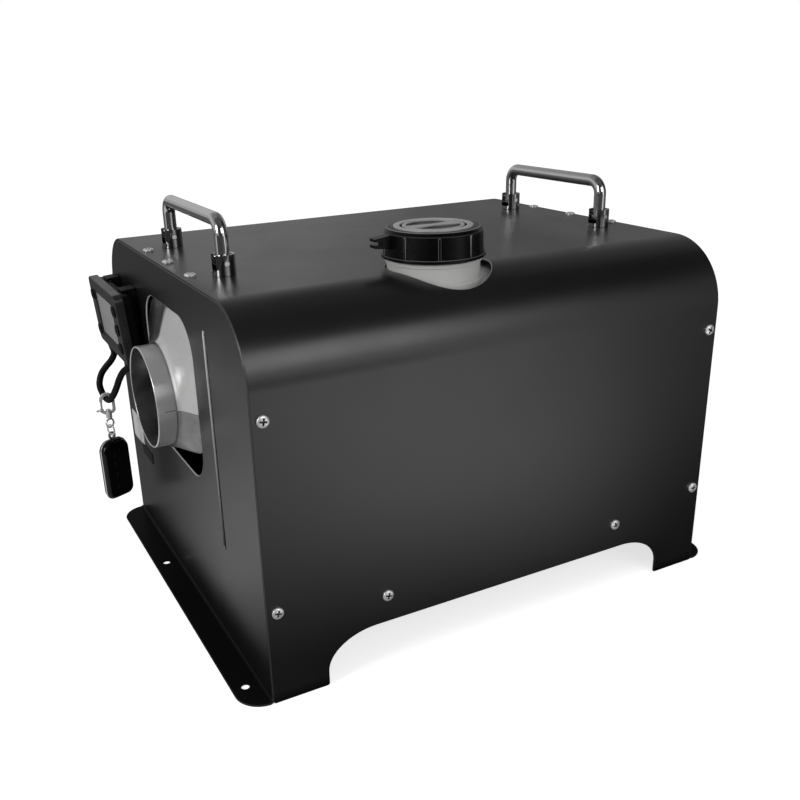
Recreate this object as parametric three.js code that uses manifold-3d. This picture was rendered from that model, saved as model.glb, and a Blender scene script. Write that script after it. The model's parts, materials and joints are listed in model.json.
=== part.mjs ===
// Portable air heater. A folded sheet case on two feet holds a fuel tank and a burner that blows
// warm air out of a round duct. Two handles fold on the top, and a wired controller hangs on the
// outlet end, with a remote clipped to its lead.
// Millimetres. The case's own frame has X from the outlet end to the intake end, Y from front to
// back and Z up from the ground. The finished part stands centred on its origin.
import * as THREE from "three";
import { mergeVertices } from "three/addons/utils/BufferGeometryUtils.js";
import Module from "manifold-3d";

const wasm = await Module();
wasm.setup();

// Case
const case_length = 368.6;
const case_depth = 333.6;
const case_height = 261.1;
const sheet = 1.5;
const long_bend = 47.5;
const seat_gap = 0.3;
const overrun = 2;
const weld = 0.0001;

// Feet, legs and the arch between the legs
const foot_reach = 20;
const foot_corner = 19;
const foot_bend = 2.5;
const foot_hole = 5.5;
const foot_hole_inset = 9.7;
const foot_hole_front = 25.5;
const foot_hole_pitch = 190.8;
const cover_edge = 35;
const leg_width = 40.7;
const leg_side = 10.8;
const arch_run = 36.5;

// End panels
const rim_depth = 14;
const rim_bottom = 14;
const opening_size = 118.2;
const opening_corner = 27;
const opening_drop = 29.7;
const slit_width = 5.5;
const slit_low = 78.4;
const slit_drop = 27.6;
const slit_inset = 22.2;
const vent_width = 6;
const vent_pitch = 12.5;
const vent_length = 96;
const vent_count = 9;

// Floor tray
const tray_lip = 30;
const tray_notch = 2;

// Burner casing, hood and duct
const casing_clear = 1.2;
const casing_height = 100.4;
const casing_corner = 25;
const casing_wall = 2.5;
const casing_end = 24;
const parting_above_duct = -0.6;
const duct_radius = 37.5;
const duct_wall = 1.5;
const duct_reach = 22.4;
const duct_above_casing = 36.4;
const duct_tuck = 2.2;
const hood_reach = 9.4;
const hood_lip = 1.6;
const hood_base = 3;
const boss_radius = 6;
const boss_length = 6;
const boss_from_end = 90;
const boss_above_casing = 14;

// Intake grille
const grille_thick = 3;
const grille_bore = 47;
const grille_hub = 9;
const grille_rings = 3;
const grille_sectors = 4;
const grille_bar = 3;

// Heat exchanger, and the block under it as shares of its length
const exchanger_start = 34;
const exchanger_radius = 33;
const fin_rise = 9;
const fin_width = 2.4;
const fin_count = 14;
const nose_length = 10;
const block_width = 62;
const block_length_share = 0.558;
const block_inset_share = 0.2326;

// Blower
const motor_radius = 25;
const motor_length = 44;
const motor_arm = 8;
const shaft_radius = 3;
const impeller_radius = 33;
const impeller_disc = 2.5;
const impeller_depth = 12;
const impeller_blades = 8;
const fan_gap = 4;
const casing_end_gap = 42.6;
const fan_radius = 45;
const fan_hub_radius = 16;
const fan_hub_depth = 24;
const fan_blades = 7;
const blade_chord_root = 24;
const blade_chord_tip = 32;
const blade_thick = 1.8;
const blade_pitch_root_deg = 52;
const blade_pitch_tip_deg = 30;

// Stand under the burner, and its pipes
const stand_foot = 12;
const stand_bend = 3;
const stand_inset = 28;
const stand_end_inset = 32.6;
const gasket_thick = 3;
const gasket_rim = 9;
const pipe_radius = 12;
const pipe_wall = 1.5;
const pipe_bottom = 15;

// Tank
const tank_clear = 4.5;
const tank_end_gap = 4.2;
const tank_to_casing = 10.7;
const tank_narrow = 6.2;
const tank_step = 109;
const tank_wall = 3;
const tank_corner = 8;
const neck_from_end = 155.6;
const neck_offset = 2.3;
const neck_radius = 31.4;
const neck_wall = 2.9;
const collar_radius = 33;
const collar_drop = 7;
const filler_clear = 4.4;
const filler_tight = 0.8;
const bead_radius = 32.3;
const bead_height = 2.6;
const bead_below_cap = 1;
const outlet_from_end = 34;
const outlet_flange_radius = 8;
const outlet_flange_thick = 3;
const outlet_barb_radius = 4;
const outlet_barb_length = 14;
const outlet_rise = 16;

// Filler cap
const cap_above_case = 7.1;
const cap_height = 20;
const cap_flange_radius = 35;
const cap_flange_thick = 2.2;
const cap_body_radius = 33.6;
const cap_taper = 0.7;
const cap_top_radius = 30.5;
const cap_chamfer = 2.4;
const cap_plate = 4.6;
const cap_recess = 2;
const cap_recess_radius = 26;
const cap_boss_radius = 20;
const cap_boss_rise = 1.2;
const cap_ribs = 8;
const cap_rib_width = 1.8;
const cap_rib_rise = 0.8;
const cap_lug_reach = 12;
const cap_lug_width = 7;
const cap_prong = 2;
const cap_prong_gap = 2;
const cap_lug_rise = 9;
const seal_thick = 1.5;
const cap_lift = 12;

// Handles
const handle_inset = 26.9;
const handle_span = 120.3;
const post_radius = 8;
const post_height = 13.5;
const post_chamfer = 0.8;
const stud_radius = 2.5;
const stud_length = 8;
const pivot_height = 8;
const pin_radius = 1.7;
const pin_head_radius = 2.4;
const pin_head = 0.7;
const bail_radius = 4.7;
const bail_rise = 39.5;
const bail_bend = 10;

// Controller on its bracket
const controller_width = 95;
const controller_height = 56;
const controller_corner = 6;
const controller_from_back = 51.1;
const controller_drop = 62.5;
const controller_out = 19.2;
const controller_tilt_deg = 4.04;
const bezel_depth = 7.5;
const bezel_wall = 2;
const window_width = 56;
const window_height = 35;
const screen_depth = 3.4;
const screen_rim = 2;
const screen_recess = 0.5;
const rear_depth = 7.2;
const rear_inset = 2;
const rear_taper = 2.5;
const bracket_width = 62;
const bracket_height = 40;
const hook_width = 14;
const hook_spread = 26;
const hook_thick = 1.8;
const button_width = 11;
const button_height = 8.5;
const button_corner = 4;
const button_proud = 1.2;
const button_travel = 1;
const button_flange = 1;
const relief_radius = 4.2;
const relief_length = 4;
const relief_from_front = 3.75;
const relief_aside = 20;

// Lead and grommet
const lead_diameter = 5.5;
const grommet_rim = 3.2;
const grommet_rim_thick = 1.6;
const grommet_wall = 1.6;
const grommet_aside = 21.1;
const grommet_drop = 4.6;

// Clasp and remote, hung from the lead
const hang_out = 27;
const hang_from_back = 43.1;
const hang_height = 128;
const clasp_half_width = 4;
const clasp_bar = 2.2;
const clasp_thick = 3.2;
const clasp_drop = 11;
const clasp_slack = 0.4;
const clasp_foot_corner = 1.5;
const clasp_neck = 6;
const clasp_neck_radius = 2.8;
const gate_pivot_radius = 0.7;
const gate_eye = 1.7;
const gate_length = 7.4;
const gate_thick = 1.2;
const gate_bar = 1.6;
const gate_tab = 4.6;
const swivel_stem_radius = 1.1;
const swivel_head_radius = 2.1;
const swivel_head = 1.1;
const eye_radius = 3.8;
const eye_wire = 0.9;
const ring_radius = 4.6;
const ring_wire = 0.8;
const fob_width = 27;
const fob_height = 55;
const fob_thick = 9.5;
const fob_top_corner = 10;
const fob_bottom_corner = 7;
const fob_trim_thick = 1.6;
const fob_yaw_deg = 25;
const fob_lug_hole = 1.8;
const fob_lug_rim = 1.8;
const fob_button_width = 8.5;
const fob_button_height = 6.5;
const fob_button_corner = 2.6;
const fob_button_proud = 0.5;
const fob_button_travel = 0.4;
const fob_button_depth = 1.4;

// Fuel pump, its clamp and hoses, and the control module
const pump_radius = 14;
const pump_length = 56;
const pump_step = 7;
const pump_shoulder_radius = 9;
const pump_barb_radius = 3;
const pump_barb_length = 14;
const pump_from_back = 68;
const pump_height = 72;
const pump_from_end = 134;
const clamp_wall = 4;
const clamp_width = 22;
const clamp_foot = 30;
const clamp_foot_thick = 4;
const hose_radius = 3.5;
const module_length = 78;
const module_width = 46;
const module_height = 22;
const module_corner = 4;
const module_from_end = 32;
const module_from_back = 66;
const module_ribs = 5;
const module_rib_rise = 3;
const module_rib_width = 2.4;

// The lead's route, chosen by hand, from the controller round its hanging loop to the grommet
const lead_route = [
  [-13.2, 302.5, 166.4],
  [-13.3, 302.6, 162.8],
  [-16, 304.2, 157],
  [-20.8, 306.2, 151.4],
  [-25.4, 307.6, 145],
  [-28.4, 305.8, 136.6],
  [-27.9, 299.2, 129.9],
  [-27, 290.5, 128],
  [-26.2, 281.9, 129.6],
  [-24.2, 275.2, 134.8],
  [-21.6, 269.2, 143],
  [-19.4, 263.6, 151.8],
  [-15.8, 257, 160.4],
  [-9.4, 249.8, 165.4],
  [-3.4, 247, 166],
  [5, 247, 166],
];
// The hoses' routes as shares of the way, along each axis, from their first end to their last
const hose_in_route_shares = [
  [0, 0, 0],
  [0, 0.05, 0],
  [0.005, 0.182, -0.25],
  [0.04, 0.423, -0.406],
  [0.109, 0.665, -0.354],
  [0.299, 0.834, -0.042],
  [0.541, 0.942, 0.479],
  [0.766, 0.99, 0.896],
  [0.887, 1, 1],
  [1, 1, 1],
];
const hose_out_route_shares = [
  [0, 0, 0],
  [0.461, 0, 0],
  [1.067, 0.048, 0.112],
  [1.471, 0.169, 0.337],
  [1.539, 0.29, 0.618],
  [1.337, 0.471, 0.871],
  [1, 0.713, 1],
  [1, 1, 1],
];

// Coarse and fine counts of facets
const arc_steps = 4;
const fillet_steps = 2;
const small_fillet_steps = 1;
const round_steps = 28;
const small_round_steps = 14;
const tiny_round_steps = 8;
const wire_sides = 6;
const bail_sides = 10;
const bail_bend_steps = 4;
const lead_sides = 6;
const lead_steps = 32;
const hose_sides = 6;
const hose_steps = 16;

// Places that several pieces share
const mid_depth = case_depth / 2;
const inner = sheet + seat_gap;
const tray_top = cover_edge + sheet;
const opening_top = case_height - opening_drop;
const casing_half_width = opening_size / 2 - casing_clear;
const casing_top = opening_top - casing_clear;
const casing_low = casing_top - casing_height;
const core_height = casing_low + casing_height / 2;
const duct_height = casing_low + duct_above_casing;
const parting_height = duct_height + parting_above_duct;
const casing_right = case_length - casing_end;
const tank_front = sheet + tank_clear;
const tank_upper_back = mid_depth - casing_half_width - tank_to_casing;
const slit_depth = tank_upper_back - slit_inset;
const tank_lower_back = slit_depth + tank_narrow;
const tank_low = tray_top + seat_gap;
const tank_high = case_height - sheet - tank_clear;
const neck_depth = (tank_front + tank_upper_back) / 2 + neck_offset;
const cap_low = case_height + cap_above_case;
const neck_top = cap_low + cap_lift;
const grommet_bore = lead_diameter / 2 + 2 * seat_gap;
const grommet_depth = mid_depth + opening_size / 2 + grommet_aside;
const grommet_height = case_height - controller_drop - controller_height / 2 - grommet_drop;
// Places along the blower's shaft, from the intake end back to the burner.
const shaft_end = casing_right - casing_end_gap;
const fan_start = shaft_end - fan_gap - fan_hub_depth;
const motor_end = fan_start - fan_gap;
const motor_start = motor_end - motor_length;
const impeller_start = motor_start - fan_gap - impeller_depth;
const exchanger_end = impeller_start - fan_gap;
const exchanger_length = exchanger_end - exchanger_start;
const block_length = exchanger_length * block_length_share;
const block_start = exchanger_start + exchanger_length * block_inset_share;
const fob_reach =
  (fob_width / 2) * Math.cos(THREE.MathUtils.degToRad(fob_yaw_deg)) +
  (fob_thick / 2) * Math.sin(THREE.MathUtils.degToRad(fob_yaw_deg));
const origin_x = (case_length + foot_reach - hang_out - fob_reach) / 2;

// A closed geometry as a solid that can be cut and joined. One that came from a solid is sewn already.
function solidOf(geometry) {
  const bare = new THREE.BufferGeometry();
  const loose = geometry.index ? geometry.toNonIndexed() : geometry;
  bare.setAttribute("position", loose.getAttribute("position"));
  const merged = geometry.userData.sewn ? geometry : mergeVertices(bare, weld);
  return new wasm.Manifold(
    new wasm.Mesh({
      numProp: 3,
      vertProperties: merged.attributes.position.array,
      triVerts: new Uint32Array(merged.index.array),
    }),
  );
}

function geometryOf(solid) {
  const mesh = solid.getMesh();
  const geometry = new THREE.BufferGeometry();
  geometry.setAttribute(
    "position",
    new THREE.BufferAttribute(new Float32Array(mesh.vertProperties), 3),
  );
  geometry.setIndex(new THREE.BufferAttribute(new Uint32Array(mesh.triVerts), 1));
  geometry.userData.sewn = true;
  return geometry;
}

function join(pieces) {
  return geometryOf(pieces.map(solidOf).reduce((all, next) => all.add(next)));
}

function cut(body, tools) {
  return geometryOf(tools.map(solidOf).reduce((left, tool) => left.subtract(tool), solidOf(body)));
}

function common(first, second) {
  return geometryOf(solidOf(first).intersect(solidOf(second)));
}

// A box between two opposite corners.
function box(low, high) {
  const size = high.map((value, i) => value - low[i]);
  const middle = high.map((value, i) => (value + low[i]) / 2);
  return new THREE.BoxGeometry(...size).translate(...middle);
}

// An outline from corners of [x, y, radius], each rounded by its own radius.
function outline(corners) {
  const shape = new THREE.Shape();
  corners.forEach(([x, y, radius = 0], i) => {
    const here = new THREE.Vector2(x, y);
    if (!radius) {
      if (i) shape.lineTo(x, y);
      else shape.moveTo(x, y);
      return;
    }
    const [bx, by] = corners[(i + corners.length - 1) % corners.length];
    const [ax, ay] = corners[(i + 1) % corners.length];
    const back = new THREE.Vector2(bx, by).sub(here).normalize();
    const ahead = new THREE.Vector2(ax, ay).sub(here).normalize();
    const half = Math.acos(THREE.MathUtils.clamp(back.dot(ahead), -1, 1)) / 2;
    const run = radius / Math.tan(half);
    const start = here.clone().addScaledVector(back, run);
    const end = here.clone().addScaledVector(ahead, run);
    const inward = back.clone().add(ahead).normalize();
    const centre = here.clone().addScaledVector(inward, radius / Math.sin(half));
    const clockwise = back.cross(ahead) > 0;
    if (i) shape.lineTo(start.x, start.y);
    else shape.moveTo(start.x, start.y);
    shape.absarc(
      centre.x,
      centre.y,
      radius,
      Math.atan2(start.y - centre.y, start.x - centre.x),
      Math.atan2(end.y - centre.y, end.x - centre.x),
      clockwise,
    );
  });
  shape.closePath();
  return shape;
}

// A rectangle with equally rounded corners, about a middle point.
function roundedRectangle(width, height, radius, x = 0, y = 0) {
  return outline([
    [x - width / 2, y - height / 2, radius],
    [x + width / 2, y - height / 2, radius],
    [x + width / 2, y + height / 2, radius],
    [x - width / 2, y + height / 2, radius],
  ]);
}

function prismZ(shape, from, to, steps = fillet_steps) {
  const geometry = new THREE.ExtrudeGeometry(shape, {
    depth: to - from,
    bevelEnabled: false,
    curveSegments: steps,
  });
  return geometry.translate(0, 0, from);
}

// The outline's first axis becomes Y and its second Z.
function prismX(shape, from, to, steps = fillet_steps) {
  const turn = new THREE.Matrix4().set(0, 0, 1, 0, 1, 0, 0, 0, 0, 1, 0, 0, 0, 0, 0, 1);
  return prismZ(shape, from, to, steps).applyMatrix4(turn);
}

// The outline's first axis becomes X and its second Z.
function prismY(shape, from, to, steps = fillet_steps) {
  return prismZ(shape, -to, -from, steps).rotateX(Math.PI / 2);
}

// A revolved profile of [radius, height], anticlockwise, about the named axis.
function turned(axis, profile, steps = round_steps) {
  const points = profile.map(([radius, height]) => new THREE.Vector2(radius, height));
  const geometry = new THREE.LatheGeometry(points, steps);
  if (axis === "x") return geometry.rotateZ(-Math.PI / 2);
  if (axis === "z") return geometry.rotateX(Math.PI / 2);
  return geometry;
}

function rod(axis, radius, from, to, steps = round_steps) {
  return turned(
    axis,
    [
      [0, from],
      [radius, from],
      [radius, to],
      [0, to],
    ],
    steps,
  );
}

function pipe(axis, radius, bore, from, to, steps = round_steps) {
  return turned(
    axis,
    [
      [bore, from],
      [radius, from],
      [radius, to],
      [bore, to],
      [bore, from],
    ],
    steps,
  );
}

// A solid through rings of equally many points, each anticlockwise about the way it runs.
function loft(rings) {
  const count = rings[0].length;
  const positions = rings.flat().flatMap((p) => [p.x, p.y, p.z]);
  const middles = [rings[0], rings[rings.length - 1]].map((ring) =>
    ring.reduce((sum, p) => sum.add(p), new THREE.Vector3()).divideScalar(count),
  );
  middles.forEach((p) => positions.push(p.x, p.y, p.z));
  const first = rings.length * count;
  const index = [];
  for (let j = 0; j < count; j += 1) {
    const next = (j + 1) % count;
    for (let k = 0; k < rings.length - 1; k += 1) {
      const low = k * count;
      const high = low + count;
      index.push(low + j, low + next, high + next);
      index.push(low + j, high + next, high + j);
    }
    index.push(first, next, j);
    index.push(first + 1, first - count + j, first - count + next);
  }
  const geometry = new THREE.BufferGeometry();
  geometry.setAttribute("position", new THREE.Float32BufferAttribute(positions, 3));
  geometry.setIndex(index);
  return geometry;
}

// A round bar along a flat path of points, square to each direction. The path lies in a plane
// across the given normal.
function bentBar(path, normal, radius, sides) {
  return loft(
    path.map(({ point, direction }) => {
      const side = direction.clone().cross(normal);
      return Array.from({ length: sides }, (_, i) => {
        const angle = (2 * Math.PI * i) / sides;
        return point
          .clone()
          .addScaledVector(normal, radius * Math.cos(angle))
          .addScaledVector(side, radius * Math.sin(angle));
      });
    }),
  );
}

// A tube along a smooth curve through a route's points.
function tube(route, radius, sides, steps) {
  const path = new THREE.CatmullRomCurve3(route.map((p) => new THREE.Vector3(...p)));
  const ring = Array.from({ length: sides }, (_, i) => {
    const angle = (2 * Math.PI * i) / sides;
    return new THREE.Vector2(radius * Math.cos(angle), radius * Math.sin(angle));
  });
  return new THREE.ExtrudeGeometry(new THREE.Shape(ring), { steps, extrudePath: path });
}

const looks = {
  case_black: [0x1c1c1d, 0.42, 0.1],
  tank_white: [0xdcdcd8, 0.5, 0],
  cap_black: [0x111112, 0.45, 0],
  casing_grey: [0xa9a9a8, 0.35, 0.6],
  duct_grey: [0x8d8d8d, 0.35, 0.7],
  dark_plastic: [0x1a1a1b, 0.6, 0],
  cast_alloy: [0x8f9193, 0.55, 0.8],
  steel: [0xa7a8aa, 0.35, 0.9],
  chrome: [0xdfe0e2, 0.12, 1],
  rubber: [0x141414, 0.8, 0],
  controller_grey: [0x77787a, 0.5, 0.1],
  controller_dark: [0x2a2a2b, 0.5, 0],
  screen_grey: [0xa4a6a6, 0.25, 0],
  remote_black: [0x0b0b0c, 0.25, 0],
  hose_green: [0x39403a, 0.6, 0],
};

const part = new THREE.Group();
const case_frame = new THREE.Group();
case_frame.position.set(-origin_x, -mid_depth, 0);
part.add(case_frame);

function place(name, geometry, look, parent = case_frame) {
  const [color, roughness, metalness] = looks[look];
  const material = new THREE.MeshStandardMaterial({ color, roughness, metalness });
  geometry.computeVertexNormals();
  const mesh = new THREE.Mesh(geometry, material);
  mesh.name = name;
  parent.add(mesh);
  return mesh;
}

// The case's section across its length, drawn in by an inset, from the ground up.
function caseSection(inset, low) {
  const bend = long_bend - inset;
  return outline([
    [inset, low],
    [case_depth - inset, low],
    [case_depth - inset, case_height - inset, bend],
    [inset, case_height - inset, bend],
  ]);
}

function buildCover() {
  const body = cut(prismX(caseSection(0, 0), 0, case_length, arc_steps), [
    prismX(caseSection(sheet, -overrun), -overrun, case_length + overrun, arc_steps),
  ]);
  const arch = new THREE.Shape();
  arch.moveTo(leg_width, -overrun);
  arch.lineTo(leg_width, leg_side);
  const arch_rise = cover_edge - leg_side;
  arch.absellipse(
    leg_width + arch_run,
    leg_side,
    arch_run,
    arch_rise,
    Math.PI,
    Math.PI / 2,
    true,
  );
  arch.absellipse(
    case_length - leg_width - arch_run,
    leg_side,
    arch_run,
    arch_rise,
    Math.PI / 2,
    0,
    true,
  );
  arch.lineTo(case_length - leg_width, -overrun);
  const filler_hole = neck_radius + filler_clear;
  const tools = [
    prismY(arch, -overrun, case_depth + overrun, arc_steps),
    rod("z", filler_hole, tank_high - long_bend, case_height + overrun).translate(
      neck_from_end + filler_clear - filler_tight,
      neck_depth,
      0,
    ),
  ];
  handlePosts((x, y) => {
    const from = case_height - sheet - overrun;
    const hole = rod("z", stud_radius + seat_gap, from, case_height + overrun, small_round_steps);
    tools.push(hole.translate(x, y, 0));
  });
  place("top_cover", cut(body, tools), "case_black");
}

function handlePosts(visit) {
  for (const x of [handle_inset, case_length - handle_inset]) {
    for (const side of [-1, 1]) {
      visit(x, mid_depth + (side * handle_span) / 2, side);
    }
  }
}

// An end panel at the outlet end: the sheet stands inside the cover, its edge is folded inwards as
// a rim, and its foot is folded outwards on the ground.
function endPanel() {
  const top = case_height + overrun;
  const folded = outline([
    [-foot_reach, 0],
    [sheet, 0, foot_bend + sheet],
    [sheet, top],
    [0, top],
    [0, sheet, foot_bend],
    [-foot_reach, sheet],
  ]);
  const blank = prismY(folded, 0, case_depth, arc_steps);
  const upright = prismX(caseSection(inner, 0), -seat_gap, sheet + overrun, arc_steps);
  const foot_outline = outline([
    [-foot_reach, 0, foot_corner],
    [-seat_gap, 0],
    [-seat_gap, case_depth],
    [-foot_reach, case_depth, foot_corner],
  ]);
  const foot = prismZ(foot_outline, 0, sheet + foot_bend, arc_steps);
  const rim = cut(prismX(caseSection(inner, rim_bottom), sheet / 2, rim_depth, arc_steps), [
    prismX(caseSection(inner + sheet, rim_bottom - overrun), -overrun, rim_depth + overrun, arc_steps),
  ]);
  const holes = [foot_hole_front, foot_hole_front + foot_hole_pitch].map((y) =>
    rod("z", foot_hole / 2, -overrun, sheet + overrun, tiny_round_steps).translate(
      -foot_reach + foot_hole_inset,
      y,
      0,
    ),
  );
  return cut(join([common(blank, join([upright, foot])), rim]), holes);
}

function throughPanel(shape, steps = fillet_steps) {
  return prismX(shape, -overrun, sheet + overrun, steps);
}

function buildLeftPanel() {
  const opening_middle = opening_top - opening_size / 2;
  const opening = roundedRectangle(opening_size, opening_size, opening_corner, mid_depth, opening_middle);
  const slit_top = case_height - slit_drop;
  const slit = roundedRectangle(
    slit_width,
    slit_top - slit_low,
    slit_width / 2,
    slit_depth,
    (slit_top + slit_low) / 2,
  );
  const hole_radius = grommet_bore + grommet_wall + seat_gap;
  const grommet_hole = rod("x", hole_radius, -overrun, sheet + overrun, small_round_steps);
  place(
    "left_end_panel",
    cut(endPanel(), [
      throughPanel(opening, arc_steps),
      throughPanel(slit),
      grommet_hole.translate(0, grommet_depth, grommet_height),
    ]),
    "case_black",
  );
}

// The intake end is the same panel the other way round, with a row of upright vents.
function buildRightPanel() {
  const vents = Array.from({ length: vent_count }, (_, i) => {
    const y = mid_depth + (i - (vent_count - 1) / 2) * vent_pitch;
    return throughPanel(
      roundedRectangle(vent_width, vent_length, vent_width / 2, y, core_height),
      small_fillet_steps,
    );
  });
  const mesh = place("right_end_panel", cut(endPanel(), vents), "case_black");
  const turn = new THREE.Group();
  turn.rotation.z = Math.PI;
  turn.position.set(case_length, case_depth, 0);
  turn.add(mesh);
  case_frame.add(turn);
}

function buildTray() {
  const low = [inner, inner, cover_edge];
  const high = [case_length - inner, case_depth - inner, tray_top + tray_lip];
  const pan = cut(box(low, high), [
    box(
      [low[0] + sheet, low[1] + sheet, tray_top],
      [high[0] - sheet, high[1] - sheet, high[2] + overrun],
    ),
  ]);
  const notch_x = rim_depth + tray_notch;
  const notch_y = inner + sheet + tray_notch;
  const notches = [];
  for (const x of [[-overrun, notch_x], [case_length - notch_x, case_length + overrun]]) {
    for (const y of [[-overrun, notch_y], [case_depth - notch_y, case_depth + overrun]]) {
      notches.push(box([x[0], y[0], cover_edge - overrun], [x[1], y[1], high[2] + overrun]));
    }
  }
  place("floor_tray", cut(pan, [...notches, ...pipeHoles(cover_edge - overrun, tray_top + overrun)]), "case_black");
}

function pipePlaces() {
  return [block_start + block_length / 4, block_start + (block_length * 3) / 4];
}

function pipeHoles(from, to) {
  return pipePlaces().map((x) =>
    rod("z", pipe_radius + seat_gap, from, to, small_round_steps).translate(x, mid_depth, 0),
  );
}

// The tank's section across its length: it follows the cover's front bend, and its lower half is
// narrower so that the fuel level shows through the sight slit.
function tankSection(inset) {
  const bend = long_bend - tank_front;
  const corner = tank_corner - inset;
  const step = tank_low + tank_step;
  return outline([
    [tank_front + inset, tank_low + inset, corner],
    [tank_lower_back - inset, tank_low + inset, corner],
    [tank_lower_back - inset, step + inset, corner],
    [tank_upper_back - inset, step + inset, corner],
    [tank_upper_back - inset, tank_high - inset, corner],
    [tank_front + inset, tank_high - inset, bend - inset],
  ]);
}

function aroundNeck(geometry) {
  return geometry.translate(neck_from_end, neck_depth, 0);
}

function buildTank() {
  const left = sheet + tank_end_gap;
  const right = case_length - left;
  const neck_bore = neck_radius - neck_wall;
  const bead_top = cap_low - bead_below_cap;
  const neck_from = tank_high - tank_wall - long_bend / 2;
  const neck = aroundNeck(
    turned("z", [
      [0, neck_from],
      [collar_radius, neck_from],
      [collar_radius, case_height - collar_drop],
      [neck_radius, case_height - collar_drop],
      [neck_radius, bead_top - bead_height],
      [bead_radius, bead_top - bead_height],
      [bead_radius, bead_top],
      [neck_radius, bead_top],
      [neck_radius, neck_top],
      [0, neck_top],
    ]),
  );
  const hollow = prismX(tankSection(tank_wall), left + tank_wall, right - tank_wall);
  const body = join([prismX(tankSection(0), left, right, arc_steps), neck]);
  const bore = aroundNeck(rod("z", neck_bore, neck_from - overrun, neck_top + overrun));
  place("fuel_tank", cut(body, [hollow, bore]), "tank_white");
}

function buildTankOutlet() {
  const face = tank_lower_back + seat_gap;
  const shoulder = face + outlet_flange_thick;
  const fitting = turned(
    "y",
    [
      [0, face],
      [outlet_flange_radius, face],
      [outlet_flange_radius, shoulder],
      [outlet_barb_radius, shoulder],
      [outlet_barb_radius, shoulder + outlet_barb_length],
      [0, shoulder + outlet_barb_length],
    ],
    small_round_steps,
  );
  place(
    "tank_outlet",
    fitting.translate(case_length - outlet_from_end, 0, tank_low + outlet_rise),
    "steel",
  );
}

// The cap's skirt hangs outside the neck. Ribs run up its side, and a split lug stands out of it.
function buildCap() {
  const top = cap_low + cap_height;
  const inside = neck_top + 2 * seat_gap + seal_thick;
  const body = turned("z", [
    [0, cap_low],
    [cap_flange_radius, cap_low],
    [cap_flange_radius, cap_low + cap_flange_thick],
    [cap_body_radius, cap_low + cap_flange_thick],
    [cap_body_radius - cap_taper, top - cap_chamfer],
    [cap_top_radius, top],
    [cap_recess_radius, top],
    [cap_recess_radius - cap_recess / 2, top - cap_recess],
    [cap_boss_radius, top - cap_recess],
    [cap_boss_radius - cap_boss_rise / 2, top - cap_recess + cap_boss_rise],
    [0, top - cap_recess + cap_boss_rise],
  ]);
  const ribs = Array.from({ length: cap_ribs }, (_, i) =>
    box(
      [0, -cap_rib_width / 2, cap_low + cap_flange_thick / 2],
      [cap_body_radius + cap_rib_rise, cap_rib_width / 2, top - cap_chamfer],
    ).rotateZ((2 * Math.PI * (i + 1 / 2)) / cap_ribs),
  );
  const lug_low = cap_low + cap_lug_rise;
  const lug = cut(
    box(
      [-cap_body_radius - cap_lug_reach, -cap_lug_width / 2, lug_low],
      [-neck_radius - seat_gap, cap_lug_width / 2, lug_low + 2 * cap_prong + cap_prong_gap],
    ),
    [
      box(
        [-cap_body_radius - cap_lug_reach - overrun, -cap_lug_width, lug_low + cap_prong],
        [-cap_body_radius - cap_lug_reach / 2, cap_lug_width, lug_low + cap_prong + cap_prong_gap],
      ),
    ],
  );
  const hollow = rod("z", bead_radius + seat_gap, cap_low - overrun, inside);
  place("filler_cap", aroundNeck(cut(join([body, ...ribs, lug]), [hollow])), "cap_black");
  const seal = pipe(
    "z",
    bead_radius - seat_gap,
    neck_radius - neck_wall - seat_gap,
    neck_top + seat_gap,
    neck_top + seat_gap + seal_thick,
  );
  place("cap_seal", aroundNeck(seal), "rubber");
}

// One ring of the hood's loft: a circle at share 0, the casing's rounded rectangle at share 1.
// Each quarter has points along half a side, the corner and half the next side.
function hoodRing(x, share, grow, circle_radius) {
  const half_y = casing_half_width + grow;
  const half_z = casing_height / 2 + grow;
  const corner = casing_corner + grow;
  const flat_points = 1;
  const corner_points = 6;
  const quarter = 2 * flat_points + corner_points;
  const ring = [];
  for (let q = 0; q < 4; q += 1) {
    const along_y = q % 2 === 0;
    const reach = along_y ? half_y : half_z;
    const across = along_y ? half_z : half_y;
    for (let i = 0; i < quarter; i += 1) {
      const angle = (Math.PI / 2) * (i / quarter);
      const circle = [circle_radius * Math.cos(angle), circle_radius * Math.sin(angle)];
      const into_corner = THREE.MathUtils.clamp((i - flat_points) / corner_points, 0, 1);
      const turn = (Math.PI / 2) * into_corner;
      const before = Math.min(i / flat_points, 1);
      const after = Math.max((i - flat_points - corner_points) / flat_points, 0);
      const square = [
        (reach - corner) * (1 - after) + corner * Math.cos(turn),
        (across - corner) * before + corner * Math.sin(turn),
      ];
      const turned_by = (q * Math.PI) / 2;
      const spin = ([a, b]) => [
        a * Math.cos(turned_by) - b * Math.sin(turned_by),
        a * Math.sin(turned_by) + b * Math.cos(turned_by),
      ];
      const [cy, cz] = spin(circle);
      const [sy, sz] = spin(square);
      ring.push(
        new THREE.Vector3(
          x,
          mid_depth + THREE.MathUtils.lerp(cy, sy, share),
          THREE.MathUtils.lerp(duct_height + cz, core_height + sz, share),
        ),
      );
    }
  }
  return ring;
}

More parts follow.
